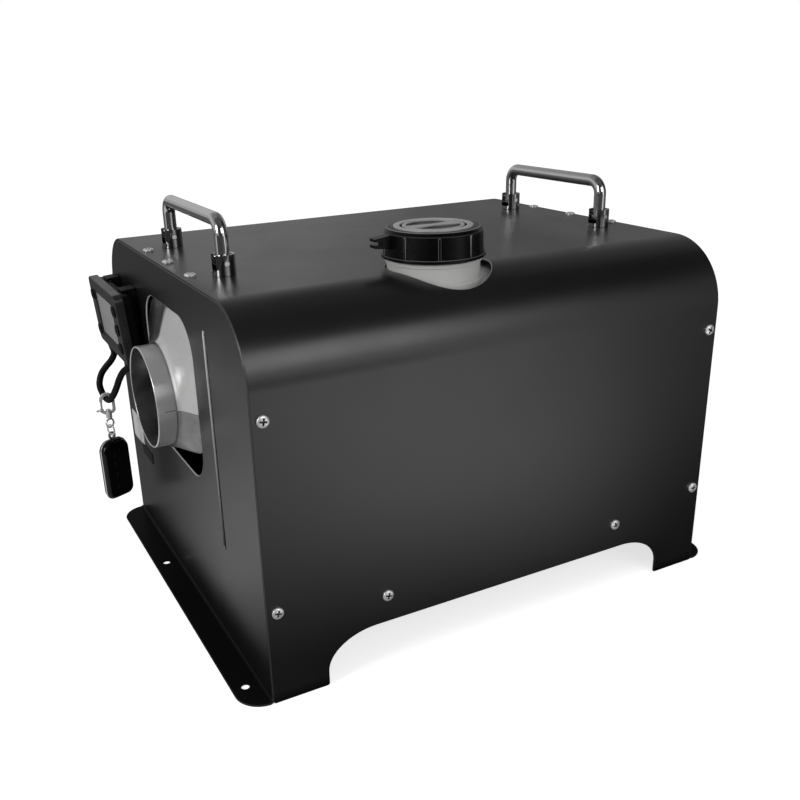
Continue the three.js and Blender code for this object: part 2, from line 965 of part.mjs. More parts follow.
// The burner's casing: a square-to-round hood that runs back into a rounded box, split in two
// shells at the parting height.
function buildCasing() {
  const neck = duct_radius + seat_gap;
  const shares = [0, 0.12, 0.42, 0.78, 1];
  const run = hood_reach + hood_base;
  const flare_at = [0, 0.25, 0.5, 0.78, 1];
  const outer = shares.map((share, i) =>
    hoodRing(-hood_reach + run * flare_at[i], share, 0, neck + hood_lip),
  );
  outer.push(hoodRing(casing_right, 1, 0, neck));
  const bore = shares.map((share, i) =>
    hoodRing(-hood_reach + hood_lip + run * flare_at[i], share, -casing_wall, neck),
  );
  bore.unshift(hoodRing(-hood_reach - overrun, 0, -casing_wall, neck));
  bore.push(hoodRing(casing_right + overrun, 1, -casing_wall, neck));
  const boss = turned(
    "y",
    [
      [0, mid_depth + casing_half_width - casing_wall / 2],
      [boss_radius, mid_depth + casing_half_width - casing_wall / 2],
      [boss_radius, mid_depth + casing_half_width + boss_length],
      [0, mid_depth + casing_half_width + boss_length],
    ],
    small_round_steps,
  ).translate(boss_from_end, 0, casing_low + boss_above_casing);
  const shell = join([cut(loft(outer), [loft(bore)]), boss]);
  const wide = case_length + hood_reach;
  const upper_half = box([-wide, 0, parting_height + seat_gap / 2], [wide, case_depth, case_height]);
  const lower_half = box([-wide, 0, 0], [wide, case_depth, parting_height - seat_gap / 2]);
  const block = exchangerBlock(casing_low - overrun, casing_low + casing_wall + overrun, seat_gap);
  place("heater_upper_shell", common(shell, upper_half), "casing_grey");
  place("heater_lower_shell", cut(common(shell, lower_half), [block]), "casing_grey");
}

function exchangerBlock(from, to, grow) {
  return box(
    [block_start - grow, mid_depth - block_width / 2 - grow, from],
    [block_start + block_length + grow, mid_depth + block_width / 2 + grow, to],
  );
}

function buildDuct() {
  const duct = pipe("x", duct_radius, duct_radius - duct_wall, -duct_reach, -hood_reach + duct_tuck);
  place("outlet_duct", duct.translate(0, mid_depth, duct_height), "duct_grey");
}

function aroundCore(geometry) {
  return geometry.translate(0, mid_depth, core_height);
}

// A cast cylinder with long fins, a domed nose towards the outlet and a block through the floor.
function buildExchanger() {
  const start = exchanger_start;
  const end = start + exchanger_length;
  const barrel = aroundCore(
    turned(
      "x",
      [
        [0, start],
        [exchanger_radius / 2, start],
        [exchanger_radius, start + nose_length],
        [exchanger_radius, end],
        [0, end],
      ],
      fin_count,
    ),
  );
  const fins = Array.from({ length: fin_count / 2 }, (_, i) =>
    aroundCore(
      box(
        [start + nose_length, -exchanger_radius - fin_rise, -fin_width / 2],
        [end - nose_length, exchanger_radius + fin_rise, fin_width / 2],
      ).rotateX((2 * Math.PI * (i + 1 / 2)) / fin_count),
    ),
  );
  const block = exchangerBlock(casing_low, core_height, 0);
  place("heat_exchanger", join([barrel, ...fins, block]), "cast_alloy");
}

function buildMotor() {
  const half_width = casing_half_width - casing_wall - seat_gap;
  const half_height = casing_height / 2 - casing_wall - seat_gap;
  const middle = (motor_start + motor_end) / 2;
  const arms = [
    box(
      [middle - motor_arm / 2, -half_width, -motor_arm / 2],
      [middle + motor_arm / 2, half_width, motor_arm / 2],
    ),
    box(
      [middle - motor_arm / 2, -motor_arm / 2, -half_height],
      [middle + motor_arm / 2, motor_arm / 2, half_height],
    ),
  ];
  const can = rod("x", motor_radius, motor_start, motor_end, small_round_steps);
  const bore = rod("x", shaft_radius + seat_gap, motor_start - overrun, motor_end + overrun, tiny_round_steps);
  place("blower_motor", aroundCore(cut(join([can, ...arms]), [bore])), "steel");
  const shaft = rod("x", shaft_radius, impeller_start, shaft_end, tiny_round_steps);
  place("motor_shaft", aroundCore(shaft), "steel");
}

// The burner's air impeller: a disc with straight radial blades.
function buildImpeller() {
  const hub_radius = shaft_radius * 3;
  const disc_start = impeller_start + impeller_depth - impeller_disc;
  const disc_end = impeller_start + impeller_depth;
  const disc = rod("x", impeller_radius, disc_start, disc_end, small_round_steps);
  const hub = rod("x", hub_radius, impeller_start, impeller_start + impeller_depth, small_round_steps);
  const blades = Array.from({ length: impeller_blades }, (_, i) =>
    box(
      [impeller_start, shaft_radius * 2, -blade_thick / 2],
      [disc_start + impeller_disc / 2, impeller_radius - overrun, blade_thick / 2],
    ).rotateX((2 * Math.PI * i) / impeller_blades),
  );
  const bore = rod("x", shaft_radius + seat_gap, impeller_start - overrun, motor_start, tiny_round_steps);
  place(
    "combustion_fan",
    aroundCore(cut(join([disc, hub, ...blades]), [bore])),
    "dark_plastic",
  );
}

// One twisted blade, lofted outwards through flat sections that turn from root to tip.
function fanBlade() {
  const stations = 5;
  const middle = fan_start + fan_hub_depth / 2;
  return loft(
    Array.from({ length: stations }, (_, i) => {
      const share = i / (stations - 1);
      const radius = THREE.MathUtils.lerp(fan_hub_radius - overrun, fan_radius, share);
      const chord = THREE.MathUtils.lerp(blade_chord_root, blade_chord_tip, share);
      const pitch_deg = THREE.MathUtils.lerp(blade_pitch_root_deg, blade_pitch_tip_deg, share);
      const pitch = THREE.MathUtils.degToRad(pitch_deg);
      const along = [Math.sin(pitch), Math.cos(pitch)];
      const section = [
        [-1 / 2, 0],
        [0, -1 / 2],
        [1 / 2, 0],
        [0, 1 / 2],
      ];
      return section.map(([a, b]) => {
        const run = a * chord;
        const rise = b * blade_thick * 2;
        const across = run * along[1] - rise * along[0];
        return new THREE.Vector3(
          middle - run * along[0] - rise * along[1],
          across,
          Math.sqrt(radius * radius - across * across),
        );
      });
    }),
  );
}

function buildFan() {
  const hub = turned("x", [
    [0, fan_start],
    [fan_hub_radius, fan_start],
    [fan_hub_radius, fan_start + (fan_hub_depth * 2) / 3],
    [fan_hub_radius / 2, fan_start + fan_hub_depth],
    [0, fan_start + fan_hub_depth],
  ], small_round_steps);
  const blades = Array.from({ length: fan_blades }, (_, i) =>
    fanBlade().rotateX((2 * Math.PI * i) / fan_blades),
  );
  const bore = rod("x", shaft_radius + seat_gap, fan_start - overrun, shaft_end + overrun, tiny_round_steps);
  place(
    "circulation_fan",
    aroundCore(cut(join([hub, ...blades]), [bore])),
    "dark_plastic",
  );
}

// The end cap over the fan, with rings of curved slots round a hub.
function buildGrille() {
  const start = casing_right + seat_gap;
  const plate = prismX(
    roundedRectangle(2 * casing_half_width, casing_height, casing_corner, mid_depth, core_height),
    start,
    start + grille_thick,
  );
  const pitch = (grille_bore - grille_hub) / grille_rings;
  const slots = [];
  for (let ring = 0; ring < grille_rings; ring += 1) {
    const low = grille_hub + ring * pitch + grille_bar / 2;
    const high = low + pitch - grille_bar;
    for (let sector = 0; sector < grille_sectors; sector += 1) {
      const from = (2 * Math.PI * sector) / grille_sectors + grille_bar / 2 / low;
      const to = (2 * Math.PI * (sector + 1)) / grille_sectors - grille_bar / 2 / low;
      const slot = new THREE.Shape();
      slot.absarc(mid_depth, core_height, high, from, to, false);
      slot.absarc(mid_depth, core_height, low, to, from, true);
      slots.push(prismX(slot, start - overrun, start + grille_thick + overrun));
    }
  }
  place("intake_grille", cut(plate, slots), "dark_plastic");
}

// A folded bridge that carries the burner above the floor, and the gasket between them.
function buildStand() {
  const top = casing_low - 2 * seat_gap - gasket_thick;
  const half = block_width / 2 + gasket_rim + stand_bend;
  const low = tray_top + seat_gap;
  const section = outline([
    [mid_depth - half - stand_foot, low],
    [mid_depth - half + sheet, low, stand_bend],
    [mid_depth - half + sheet, top - sheet, stand_bend],
    [mid_depth + half - sheet, top - sheet, stand_bend],
    [mid_depth + half - sheet, low, stand_bend],
    [mid_depth + half + stand_foot, low],
    [mid_depth + half + stand_foot, low + sheet],
    [mid_depth + half, low + sheet, stand_bend],
    [mid_depth + half, top, stand_bend + sheet],
    [mid_depth - half, top, stand_bend + sheet],
    [mid_depth - half, low + sheet, stand_bend],
    [mid_depth - half - stand_foot, low + sheet],
  ]);
  const bridge = prismX(section, exchanger_start + stand_inset, casing_right - stand_end_inset);
  place("heater_stand", cut(bridge, pipeHoles(top - sheet - overrun, top + overrun)), "steel");
  const gasket_low = top + seat_gap;
  const middle = block_start + block_length / 2;
  const pad = prismZ(
    roundedRectangle(
      block_length + 2 * gasket_rim,
      block_width + 2 * gasket_rim,
      gasket_rim,
      middle,
      mid_depth,
    ),
    gasket_low,
    gasket_low + gasket_thick,
  );
  place("base_gasket", cut(pad, pipeHoles(gasket_low - overrun, casing_low)), "rubber");
  const names = ["combustion_intake_pipe", "exhaust_pipe"];
  pipePlaces().forEach((x, i) => {
    const tail = pipe("z", pipe_radius, pipe_radius - pipe_wall, pipe_bottom, casing_low - seat_gap, small_round_steps);
    place(names[i], tail.translate(x, mid_depth, 0), i ? "steel" : "dark_plastic");
  });
}

function buildPump() {
  const start = pump_from_end - pump_barb_length;
  const y = case_depth - pump_from_back;
  const steps = [
    [pump_barb_radius, pump_barb_length],
    [pump_shoulder_radius, pump_step],
    [pump_radius, pump_length],
    [pump_shoulder_radius, pump_step],
    [pump_barb_radius, pump_barb_length],
  ];
  const profile = [[0, start]];
  let x = start;
  for (const [radius, length] of steps) {
    profile.push([radius, x]);
    x += length;
    profile.push([radius, x]);
  }
  profile.push([0, x]);
  place("fuel_pump", turned("x", profile, small_round_steps).translate(0, y, pump_height), "steel");
  const bore = pump_radius + seat_gap;
  const middle = pump_from_end + pump_step + pump_length / 2;
  const low = tray_top + seat_gap;
  const ring = rod("x", bore + clamp_wall, middle - clamp_width / 2, middle + clamp_width / 2, small_round_steps);
  const clamp = join([
    ring.translate(0, y, pump_height),
    box(
      [middle - clamp_width / 2, y - clamp_wall, low],
      [middle + clamp_width / 2, y + clamp_wall, pump_height - bore],
    ),
    box(
      [middle - clamp_width / 2, y - clamp_foot / 2, low],
      [middle + clamp_width / 2, y + clamp_foot / 2, low + clamp_foot_thick],
    ),
  ]);
  const hole = rod("x", bore, middle - clamp_width, middle + clamp_width, small_round_steps);
  place("pump_clamp", cut(clamp, [hole.translate(0, y, pump_height)]), "rubber");
  const outlet_tip = [
    case_length - outlet_from_end,
    tank_lower_back + 2 * seat_gap + outlet_flange_thick + outlet_barb_length,
    tank_low + outlet_rise,
  ];
  const boss_tip = [
    boss_from_end,
    mid_depth + casing_half_width + boss_length + seat_gap,
    casing_low + boss_above_casing,
  ];
  placeHose("pump_hose_in", hose_in_route_shares, outlet_tip, [x + seat_gap, y, pump_height]);
  placeHose("pump_hose_out", hose_out_route_shares, [start - seat_gap, y, pump_height], boss_tip);
}

function placeHose(name, route_shares, from, to) {
  const route = route_shares.map((share) =>
    share.map((value, axis) => THREE.MathUtils.lerp(from[axis], to[axis], value)),
  );
  place(name, tube(route, hose_radius, hose_sides, hose_steps), "hose_green");
}

function buildModule() {
  const right = case_length - module_from_end;
  const back = case_depth - module_from_back + module_width;
  const low = tray_top + seat_gap;
  const x = right - module_length / 2;
  const y = back - module_width / 2;
  const body = prismZ(
    roundedRectangle(module_length, module_width, module_corner, x, y),
    low,
    low + module_height,
  );
  const pitch = (module_width - 2 * module_corner) / (module_ribs - 1);
  const ribs = Array.from({ length: module_ribs }, (_, i) => {
    const at = y + (i - (module_ribs - 1) / 2) * pitch;
    return box(
      [x - module_length / 2 + module_corner, at - module_rib_width / 2, low + module_height - overrun],
      [x + module_length / 2 - module_corner, at + module_rib_width / 2, low + module_height + module_rib_rise],
    );
  });
  place("control_module", join([body, ...ribs]), "cast_alloy");
}

// A post: a turned cylinder with a stud through the cover, a slot for the bail that is open
// towards the outlet end, and a cross hole for the pin.
function postGeometry() {
  const slot = bail_radius + seat_gap;
  const body = turned(
    "z",
    [
      [0, -stud_length],
      [stud_radius, -stud_length],
      [stud_radius, 0],
      [post_radius, 0],
      [post_radius, post_height - post_chamfer],
      [post_radius - post_chamfer, post_height],
      [0, post_height],
    ],
    small_round_steps,
  );
  const reach = post_radius + overrun;
  const open_side = box([-reach, -slot, pivot_height - slot], [0, slot, post_height + overrun]);
  const round_side = rod("y", slot, -slot, slot, small_round_steps).translate(0, 0, pivot_height);
  const upper_side = box([0, -slot, pivot_height], [slot, slot, post_height + overrun]);
  const cross_hole = rod("y", pin_radius + seat_gap, -reach, reach, tiny_round_steps);
  return cut(body, [open_side, round_side, upper_side, cross_hole.translate(0, 0, pivot_height)]);
}

function pinGeometry() {
  const outside = post_radius + seat_gap;
  return turned(
    "y",
    [
      [0, -outside - pin_head],
      [pin_head_radius / 2, -outside - pin_head],
      [pin_head_radius, -outside],
      [pin_radius, -outside],
      [pin_radius, post_radius],
      [0, post_radius],
    ],
    tiny_round_steps,
  ).translate(0, 0, pivot_height);
}

// The bail: one bar bent twice, with a round eye at each foot for its pin.
function bailGeometry() {
  const half = handle_span / 2;
  const high = bail_rise - bail_radius;
  const low = pivot_height;
  const path = [{ point: new THREE.Vector3(0, -half, low), direction: new THREE.Vector3(0, 0, 1) }];
  for (const side of [-1, 1]) {
    for (let i = 0; i <= bail_bend_steps; i += 1) {
      const share = i / bail_bend_steps;
      const angle = ((side < 0 ? 1 - share : share) * Math.PI) / 2;
      const point = new THREE.Vector3(
        0,
        side * (half - bail_bend + bail_bend * Math.sin(angle)),
        high - bail_bend + bail_bend * Math.cos(angle),
      );
      const direction = new THREE.Vector3(0, Math.cos(angle), -side * Math.sin(angle));
      path.push({ point, direction });
    }
  }
  path.push({ point: new THREE.Vector3(0, half, low), direction: new THREE.Vector3(0, 0, -1) });
  const bar = bentBar(path, new THREE.Vector3(1, 0, 0), bail_radius, bail_sides);
  const eyes = [-half, half].map((y) =>
    rod("y", bail_radius, y - bail_radius, y + bail_radius, bail_sides).translate(0, 0, low),
  );
  const holes = [-half, half].map((y) =>
    rod("y", pin_radius + seat_gap, y - post_radius, y + post_radius, tiny_round_steps).translate(0, 0, low),
  );
  return cut(join([bar, ...eyes]), holes);
}

function buildHandles() {
  const base = case_height + seat_gap;
  const ends = { left: handle_inset, right: case_length - handle_inset };
  for (const [end, x] of Object.entries(ends)) {
    for (const side of [-1, 1]) {
      const where = side < 0 ? "front" : "rear";
      const y = mid_depth + (side * handle_span) / 2;
      const post = place(`${end}_handle_${where}_post`, postGeometry(), "chrome");
      post.position.set(x, y, base);
      const pin = place(`${end}_handle_${where}_pin`, pinGeometry(), "steel");
      pin.position.set(x, y, base);
    }
    const bail = place(`${end}_handle_bail`, bailGeometry(), "chrome");
    bail.position.set(x, mid_depth, base);
  }
}

// The controller's own frame: x into the case from its face, y along its width and z up.
const controller_frame = new THREE.Group();
controller_frame.position.set(
  -controller_out,
  case_depth - controller_from_back,
  case_height - controller_drop,
);
controller_frame.rotation.y = -THREE.MathUtils.degToRad(controller_tilt_deg);
case_frame.add(controller_frame);

// Places of the buttons' middles on the face, as shares of half its width and half its height.
const button_place_shares = [
  [0.79, 0.486],
  [0.79, -0.604],
  [-0.79, 0.504],
  [-0.79, -0.039],
  [-0.79, -0.583],
];

function buttonOutline(place_share, grow) {
  const [across, up] = place_share;
  return roundedRectangle(
    button_width + 2 * grow,
    button_height + 2 * grow,
    button_corner + grow,
    (across * controller_width) / 2,
    (up * controller_height) / 2,
  );
}

function buildController() {
  const face = roundedRectangle(controller_width, controller_height, controller_corner);
  const pocket = roundedRectangle(
    controller_width - 2 * bezel_wall,
    controller_height - 2 * bezel_wall,
    controller_corner - bezel_wall,
  );
  const window_outline = roundedRectangle(window_width, window_height, bezel_wall);
  const relief = turned(
    "z",
    [
      [0, -controller_height / 2 - relief_length],
      [relief_radius - overrun / 2, -controller_height / 2 - relief_length],
      [relief_radius - seat_gap, -controller_height / 2 + bezel_wall / 2],
      [0, -controller_height / 2 + bezel_wall / 2],
    ],
    tiny_round_steps,
  ).translate(relief_from_front, relief_aside, 0);
  const bezel = cut(join([prismX(face, 0, bezel_depth), relief]), [
    prismX(pocket, bezel_wall, bezel_depth + overrun, small_fillet_steps),
    prismX(window_outline, -overrun, bezel_wall + overrun, small_fillet_steps),
    ...button_place_shares.map((share) =>
      prismX(buttonOutline(share, seat_gap), -overrun, bezel_wall + overrun),
    ),
  ]);
  place("controller_bezel", bezel, "controller_grey", controller_frame);
  const screen = join([
    prismX(
      roundedRectangle(window_width - 2 * seat_gap, window_height - 2 * seat_gap, bezel_wall - seat_gap),
      screen_recess,
      screen_depth,
      small_fillet_steps,
    ),
    prismX(
      roundedRectangle(window_width + 2 * screen_rim, window_height + 2 * screen_rim, bezel_wall),
      bezel_wall + seat_gap,
      screen_depth,
      small_fillet_steps,
    ),
  ]);
  place("controller_screen", screen, "screen_grey", controller_frame);
  button_place_shares.forEach((share, i) => {
    const button = join([
      prismX(buttonOutline(share, 0), -button_proud, bezel_wall + button_flange + seat_gap),
      prismX(
        buttonOutline(share, button_flange),
        bezel_wall + seat_gap,
        bezel_wall + seat_gap + button_flange,
        small_fillet_steps,
      ),
    ]);
    place(`controller_button_${i + 1}`, button, "rubber", controller_frame);
  });
  const rear_start = bezel_depth + seat_gap;
  const rear_rings = [
    [0, 0],
    [2 / 3, 0],
    [1, 1],
  ].map(([share, drawn_in]) => {
    const inset = rear_inset + drawn_in * rear_taper;
    const outline_points = roundedRectangle(
      controller_width - 2 * inset,
      controller_height - 2 * inset,
      controller_corner,
    ).getPoints(fillet_steps);
    outline_points.pop();
    return outline_points.map((p) => new THREE.Vector3(rear_start + share * rear_depth, p.x, p.y));
  });
  place("controller_rear_shell", loft(rear_rings), "controller_dark", controller_frame);
  buildBracket(rear_start + rear_depth + seat_gap);
}

// A wedge between the tilted controller and the upright panel, with two hooks over its top.
function buildBracket(start) {
  const tilt = THREE.MathUtils.degToRad(controller_tilt_deg);
  const panelAt = (z) => (controller_out - seat_gap + z * Math.sin(tilt)) / Math.cos(tilt);
  const half = bracket_height / 2;
  const wedge = outline([
    [start, -half],
    [panelAt(-half), -half],
    [panelAt(half), half],
    [start, half],
  ]);
  const hook_low = controller_height / 2 - rear_inset + seat_gap;
  const hook_tip = bezel_depth + seat_gap + overrun;
  const hook = outline([
    [start, half - hook_thick],
    [panelAt(half - hook_thick), half - hook_thick],
    [panelAt(hook_low + hook_thick), hook_low + hook_thick],
    [hook_tip, hook_low + hook_thick],
    [hook_tip, hook_low],
    [start, hook_low],
  ]);
  const pieces = [prismY(wedge, -bracket_width / 2, bracket_width / 2)];
  for (const y of [-hook_spread, hook_spread]) {
    pieces.push(prismY(hook, y - hook_width / 2, y + hook_width / 2));
  }
  place("controller_bracket", join(pieces), "dark_plastic", controller_frame);
}

function buildLead() {
  const bore = grommet_bore;
  const neck = bore + grommet_wall;
  const rim = neck + grommet_rim;
  const grommet = turned(
    "x",
    [
      [bore, -seat_gap - grommet_rim_thick],
      [rim - grommet_rim_thick / 2, -seat_gap - grommet_rim_thick],
      [rim, -seat_gap],
      [neck, -seat_gap],
      [neck, sheet + seat_gap],
      [rim, sheet + seat_gap],
      [rim - grommet_rim_thick / 2, sheet + seat_gap + grommet_rim_thick],
      [bore, sheet + seat_gap + grommet_rim_thick],
      [bore, -seat_gap - grommet_rim_thick],
    ],
    small_round_steps,
  );
  place("lead_grommet", grommet.translate(0, grommet_depth, grommet_height), "rubber");
  place("controller_lead", tube(lead_route, lead_diameter / 2, lead_sides, lead_steps), "rubber");
}

// The clasp's own frame has its origin where it hangs on the lead, with x and z in its plane.
const clasp_frame = new THREE.Group();
clasp_frame.position.set(-hang_out, case_depth - hang_from_back, hang_height);
case_frame.add(clasp_frame);
const fob_frame = new THREE.Group();
fob_frame.rotation.z = THREE.MathUtils.degToRad(fob_yaw_deg);
clasp_frame.add(fob_frame);

const clasp_top = lead_diameter / 2 + clasp_slack;
const gate_x = -clasp_half_width - clasp_bar / 2;
const gate_z = -clasp_drop + gate_eye - clasp_slack;

// A loop's outline in the clasp's plane: round over the lead, and squarer at the foot.
function claspLoop(grow) {
  const half = clasp_half_width + grow;
  const low = -clasp_drop - grow;
  return outline([
    [-half, low, clasp_foot_corner + grow],
    [half, low, clasp_foot_corner + grow],
    [half, clasp_top + grow, half - weld],
    [-half, clasp_top + grow, half - weld],
  ]);
}

function buildClasp() {
  const half = clasp_thick / 2;
  const neck_low = -clasp_drop - clasp_neck;
  const gap_high = gate_z + gate_length + seat_gap;
  const cheek = rod("y", gate_eye + seat_gap, -half, half, tiny_round_steps).translate(gate_x, 0, gate_z);
  const body = cut(
    join([
      prismY(claspLoop(clasp_bar), -half, half),
      rod("z", clasp_neck_radius, neck_low, -clasp_drop, tiny_round_steps),
      cheek,
    ]),
    [
      prismY(claspLoop(0), -half - overrun, half + overrun),
      rod("z", swivel_stem_radius + seat_gap, neck_low - overrun, -clasp_drop + overrun, tiny_round_steps),
      box(
        [gate_x - clasp_bar * 2, -half - overrun, gate_z + gate_eye],
        [-clasp_half_width + clasp_bar / 2, half + overrun, gap_high],
      ),
      box(
        [gate_x - clasp_bar * 2, -gate_thick / 2 - seat_gap, gate_z - gate_eye - seat_gap * 2],
        [-clasp_half_width + clasp_bar / 2, gate_thick / 2 + seat_gap, gate_z + gate_eye + overrun],
      ),
    ],
  );
  const pin = rod("y", gate_pivot_radius, -half, half, tiny_round_steps).translate(gate_x, 0, gate_z);
  place("clasp_body", join([body, pin]), "chrome", clasp_frame);
  const bar = box([-gate_bar / 2, -gate_thick / 2, 0], [gate_bar / 2, gate_thick / 2, gate_length]);
  const tab = box([-gate_tab, -gate_thick / 2, -gate_bar / 2], [0, gate_thick / 2, gate_bar / 2]);
  const lever = cut(
    join([rod("y", gate_eye, -gate_thick / 2, gate_thick / 2, tiny_round_steps), bar, tab]),
    [rod("y", gate_pivot_radius + seat_gap, -gate_thick, gate_thick, tiny_round_steps)],
  );
  place("clasp_lever", lever.translate(gate_x, 0, gate_z), "chrome", clasp_frame);
}

// A closed ring of round wire about the z axis of its own geometry.
function wireRing(radius, wire) {
  return new THREE.TorusGeometry(radius, wire, wire_sides, small_round_steps);
}

const eye_height = -clasp_drop - clasp_neck - clasp_slack - eye_wire - eye_radius;
const ring_top = eye_height - eye_radius + eye_wire + ring_wire + seat_gap;
const ring_height = ring_top - ring_radius;
const lug_top = ring_height - ring_radius + ring_wire + 2 * seat_gap;
const lug_height = lug_top - fob_lug_hole;
const fob_top = lug_height - fob_lug_hole - fob_lug_rim / 2;
const fob_middle = fob_top - fob_height / 2;

function buildSwivel() {
  const head_low = -clasp_drop + seat_gap;
  const stem = turned(
    "z",
    [
      [0, eye_height + eye_radius],
      [swivel_stem_radius, eye_height + eye_radius],
      [swivel_stem_radius, head_low],
      [swivel_head_radius, head_low],
      [swivel_head_radius, head_low + swivel_head],
      [0, head_low + swivel_head],
    ],
    tiny_round_steps,
  );
  const eye = wireRing(eye_radius, eye_wire).rotateX(Math.PI / 2).translate(0, 0, eye_height);
  place("clasp_swivel", join([stem, eye]), "chrome", fob_frame);
  const ring = wireRing(ring_radius, ring_wire).rotateY(Math.PI / 2).translate(0, 0, ring_height);
  place("fob_ring", ring, "chrome", fob_frame);
}

function fobOutline(inset) {
  const half = fob_width / 2 - inset;
  const top = fob_top - inset;
  const bottom = fob_top - fob_height + inset;
  return outline([
    [-half, bottom, fob_bottom_corner],
    [half, bottom, fob_bottom_corner],
    [half, top, fob_top_corner],
    [-half, top, fob_top_corner],
  ]);
}

// Places of the remote's buttons, as shares of half its width and half its height.
const fob_button_place_shares = [
  [0, 0.52],
  [0, 0.16],
  [0, -0.2],
  [0, -0.56],
];

function fobButtonOutline(share, grow) {
  return roundedRectangle(
    fob_button_width + 2 * grow,
    fob_button_height + 2 * grow,
    fob_button_corner + grow,
    (share[0] * fob_width) / 2,
    fob_middle + (share[1] * fob_height) / 2,
  );
}

// The remote: two shells with a bright band between them, and buttons in the front shell.
function buildFob() {
  const band = fob_trim_thick / 2;
  const half = fob_thick / 2;
  const edge = band;
  const lug = rod("y", fob_lug_hole + fob_lug_rim, -band, band, small_round_steps).translate(0, 0, lug_height);
  const hole = rod("y", fob_lug_hole, -half, half, tiny_round_steps).translate(0, 0, lug_height);
  const trim = cut(join([prismY(fobOutline(0), -band, band), lug]), [hole]);
  place("fob_trim", trim, "chrome", fob_frame);
  const shell = (inset, from, to) => prismY(fobOutline(inset), from, to);
  const pocket_floor = -half + fob_button_depth + fob_button_travel + seat_gap;
  const front = cut(
    join([
      shell(edge / 2, -half + edge, -band - seat_gap),
      shell(edge, -half, -half + edge + weld),
    ]),
    fob_button_place_shares.map((share) =>
      prismY(fobButtonOutline(share, seat_gap), -half - overrun, pocket_floor, small_fillet_steps),
    ),
  );
  place("fob_front_shell", front, "remote_black", fob_frame);
  const rear = join([
    shell(edge / 2, band + seat_gap, half - edge),
    shell(edge, half - edge - weld, half),
  ]);
  place("fob_rear_shell", rear, "remote_black", fob_frame);
  fob_button_place_shares.forEach((share, i) => {
    const button = prismY(
      fobButtonOutline(share, 0),
      -half - fob_button_proud,
      -half + fob_button_depth,
      small_fillet_steps,
    );
    place(`fob_button_${i + 1}`, button, "rubber", fob_frame);
  });
}

buildCover();
buildLeftPanel();
buildRightPanel();
buildTray();
buildTank();
buildTankOutlet();
buildCap();
buildCasing();
buildDuct();
buildExchanger();
buildMotor();
buildImpeller();
buildFan();
buildGrille();
buildStand();
buildPump();
buildModule();
buildHandles();
buildController();
buildLead();
buildClasp();
buildSwivel();
buildFob();

export default part;
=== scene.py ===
"""Looks of a portable air heater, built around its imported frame.

A folded sheet case stands on two feet. It holds a fuel tank, whose neck and cap come up through the
top, and a burner that blows warm air out of a round duct. Two chrome handles fold on the top. A wired
controller hangs on the outlet end, with a remote clipped to its lead.

Each sub-assembly is a class: its fields are sizes in millimetres and its methods make and dress the
pieces. The case's own frame has X from the outlet end to the intake end, Y from front to back and Z up.
"""

import json
import logging
import math
from dataclasses import dataclass, field, replace
from enum import Enum
from itertools import zip_longest
from typing import Callable, Iterable, Optional, Sequence

import bmesh
import bpy
from mathutils import Matrix, Vector

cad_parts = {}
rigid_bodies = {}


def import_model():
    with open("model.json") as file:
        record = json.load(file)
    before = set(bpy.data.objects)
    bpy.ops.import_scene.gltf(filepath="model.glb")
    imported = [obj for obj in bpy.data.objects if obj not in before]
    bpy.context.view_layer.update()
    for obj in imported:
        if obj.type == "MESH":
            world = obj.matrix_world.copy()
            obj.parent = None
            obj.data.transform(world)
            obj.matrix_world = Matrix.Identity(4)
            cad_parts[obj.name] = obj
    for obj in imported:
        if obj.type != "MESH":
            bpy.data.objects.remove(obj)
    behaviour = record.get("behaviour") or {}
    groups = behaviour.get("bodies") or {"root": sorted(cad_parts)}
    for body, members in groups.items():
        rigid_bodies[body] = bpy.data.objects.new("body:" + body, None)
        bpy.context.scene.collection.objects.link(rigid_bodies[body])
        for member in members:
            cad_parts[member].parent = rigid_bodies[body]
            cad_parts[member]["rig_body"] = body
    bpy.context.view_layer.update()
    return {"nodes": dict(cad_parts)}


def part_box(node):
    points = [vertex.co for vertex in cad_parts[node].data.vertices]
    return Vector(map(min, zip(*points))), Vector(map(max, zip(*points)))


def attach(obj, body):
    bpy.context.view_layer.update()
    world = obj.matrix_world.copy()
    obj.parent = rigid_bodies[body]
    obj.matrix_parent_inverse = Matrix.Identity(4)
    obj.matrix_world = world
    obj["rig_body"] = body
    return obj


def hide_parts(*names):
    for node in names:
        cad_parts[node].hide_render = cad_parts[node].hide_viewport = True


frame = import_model()

LOG = logging.getLogger("heater")
MM = 0.001
MICRON = 0.000001
LIGHT_AND_WEAR = "painted_light_and_wear"
SLOT_FLAT = 0.01
Loop = list[Vector]
Socket = bpy.types.NodeSocket
Triple = tuple[float, float, float]


class Axis(Enum):
    """An axis that a turned or extruded solid follows."""

    X = "x"
    Y = "y"
    Z = "z"

    def stand(self) -> Matrix:
        """Returns the turn that takes the Z axis to this one, with no mirror."""
        rows = {
            Axis.X: ((0, 0, 1), (1, 0, 0), (0, 1, 0)),
            Axis.Y: ((1, 0, 0), (0, 0, -1), (0, 1, 0)),
            Axis.Z: ((1, 0, 0), (0, 1, 0), (0, 0, 1)),
        }
        return Matrix(rows[self]).to_4x4()


class Boolean(Enum):
    """How one solid acts on another."""

    CUT = "DIFFERENCE"
    JOIN = "UNION"
    KEEP = "INTERSECT"


@dataclass(frozen=True)
class Ramp:
    """A value that changes evenly over a stretch and stays the same outside it."""

    start: float
    end: float
    before: float = 0.0
    after: float = 1.0


def put(name: str, data: bpy.types.ID) -> bpy.types.Object:
    """Makes an object and links it to the scene."""
    thing = bpy.data.objects.new(name, data)
    bpy.context.scene.collection.objects.link(thing)
    return thing


def evaluated_mesh(thing: bpy.types.Object) -> bpy.types.Mesh:
    """Returns a plain mesh of what an object's modifiers make."""
    graph = bpy.context.evaluated_depsgraph_get()
    return bpy.data.meshes.new_from_object(
        thing.evaluated_get(graph), preserve_all_data_layers=True, depsgraph=graph
    )


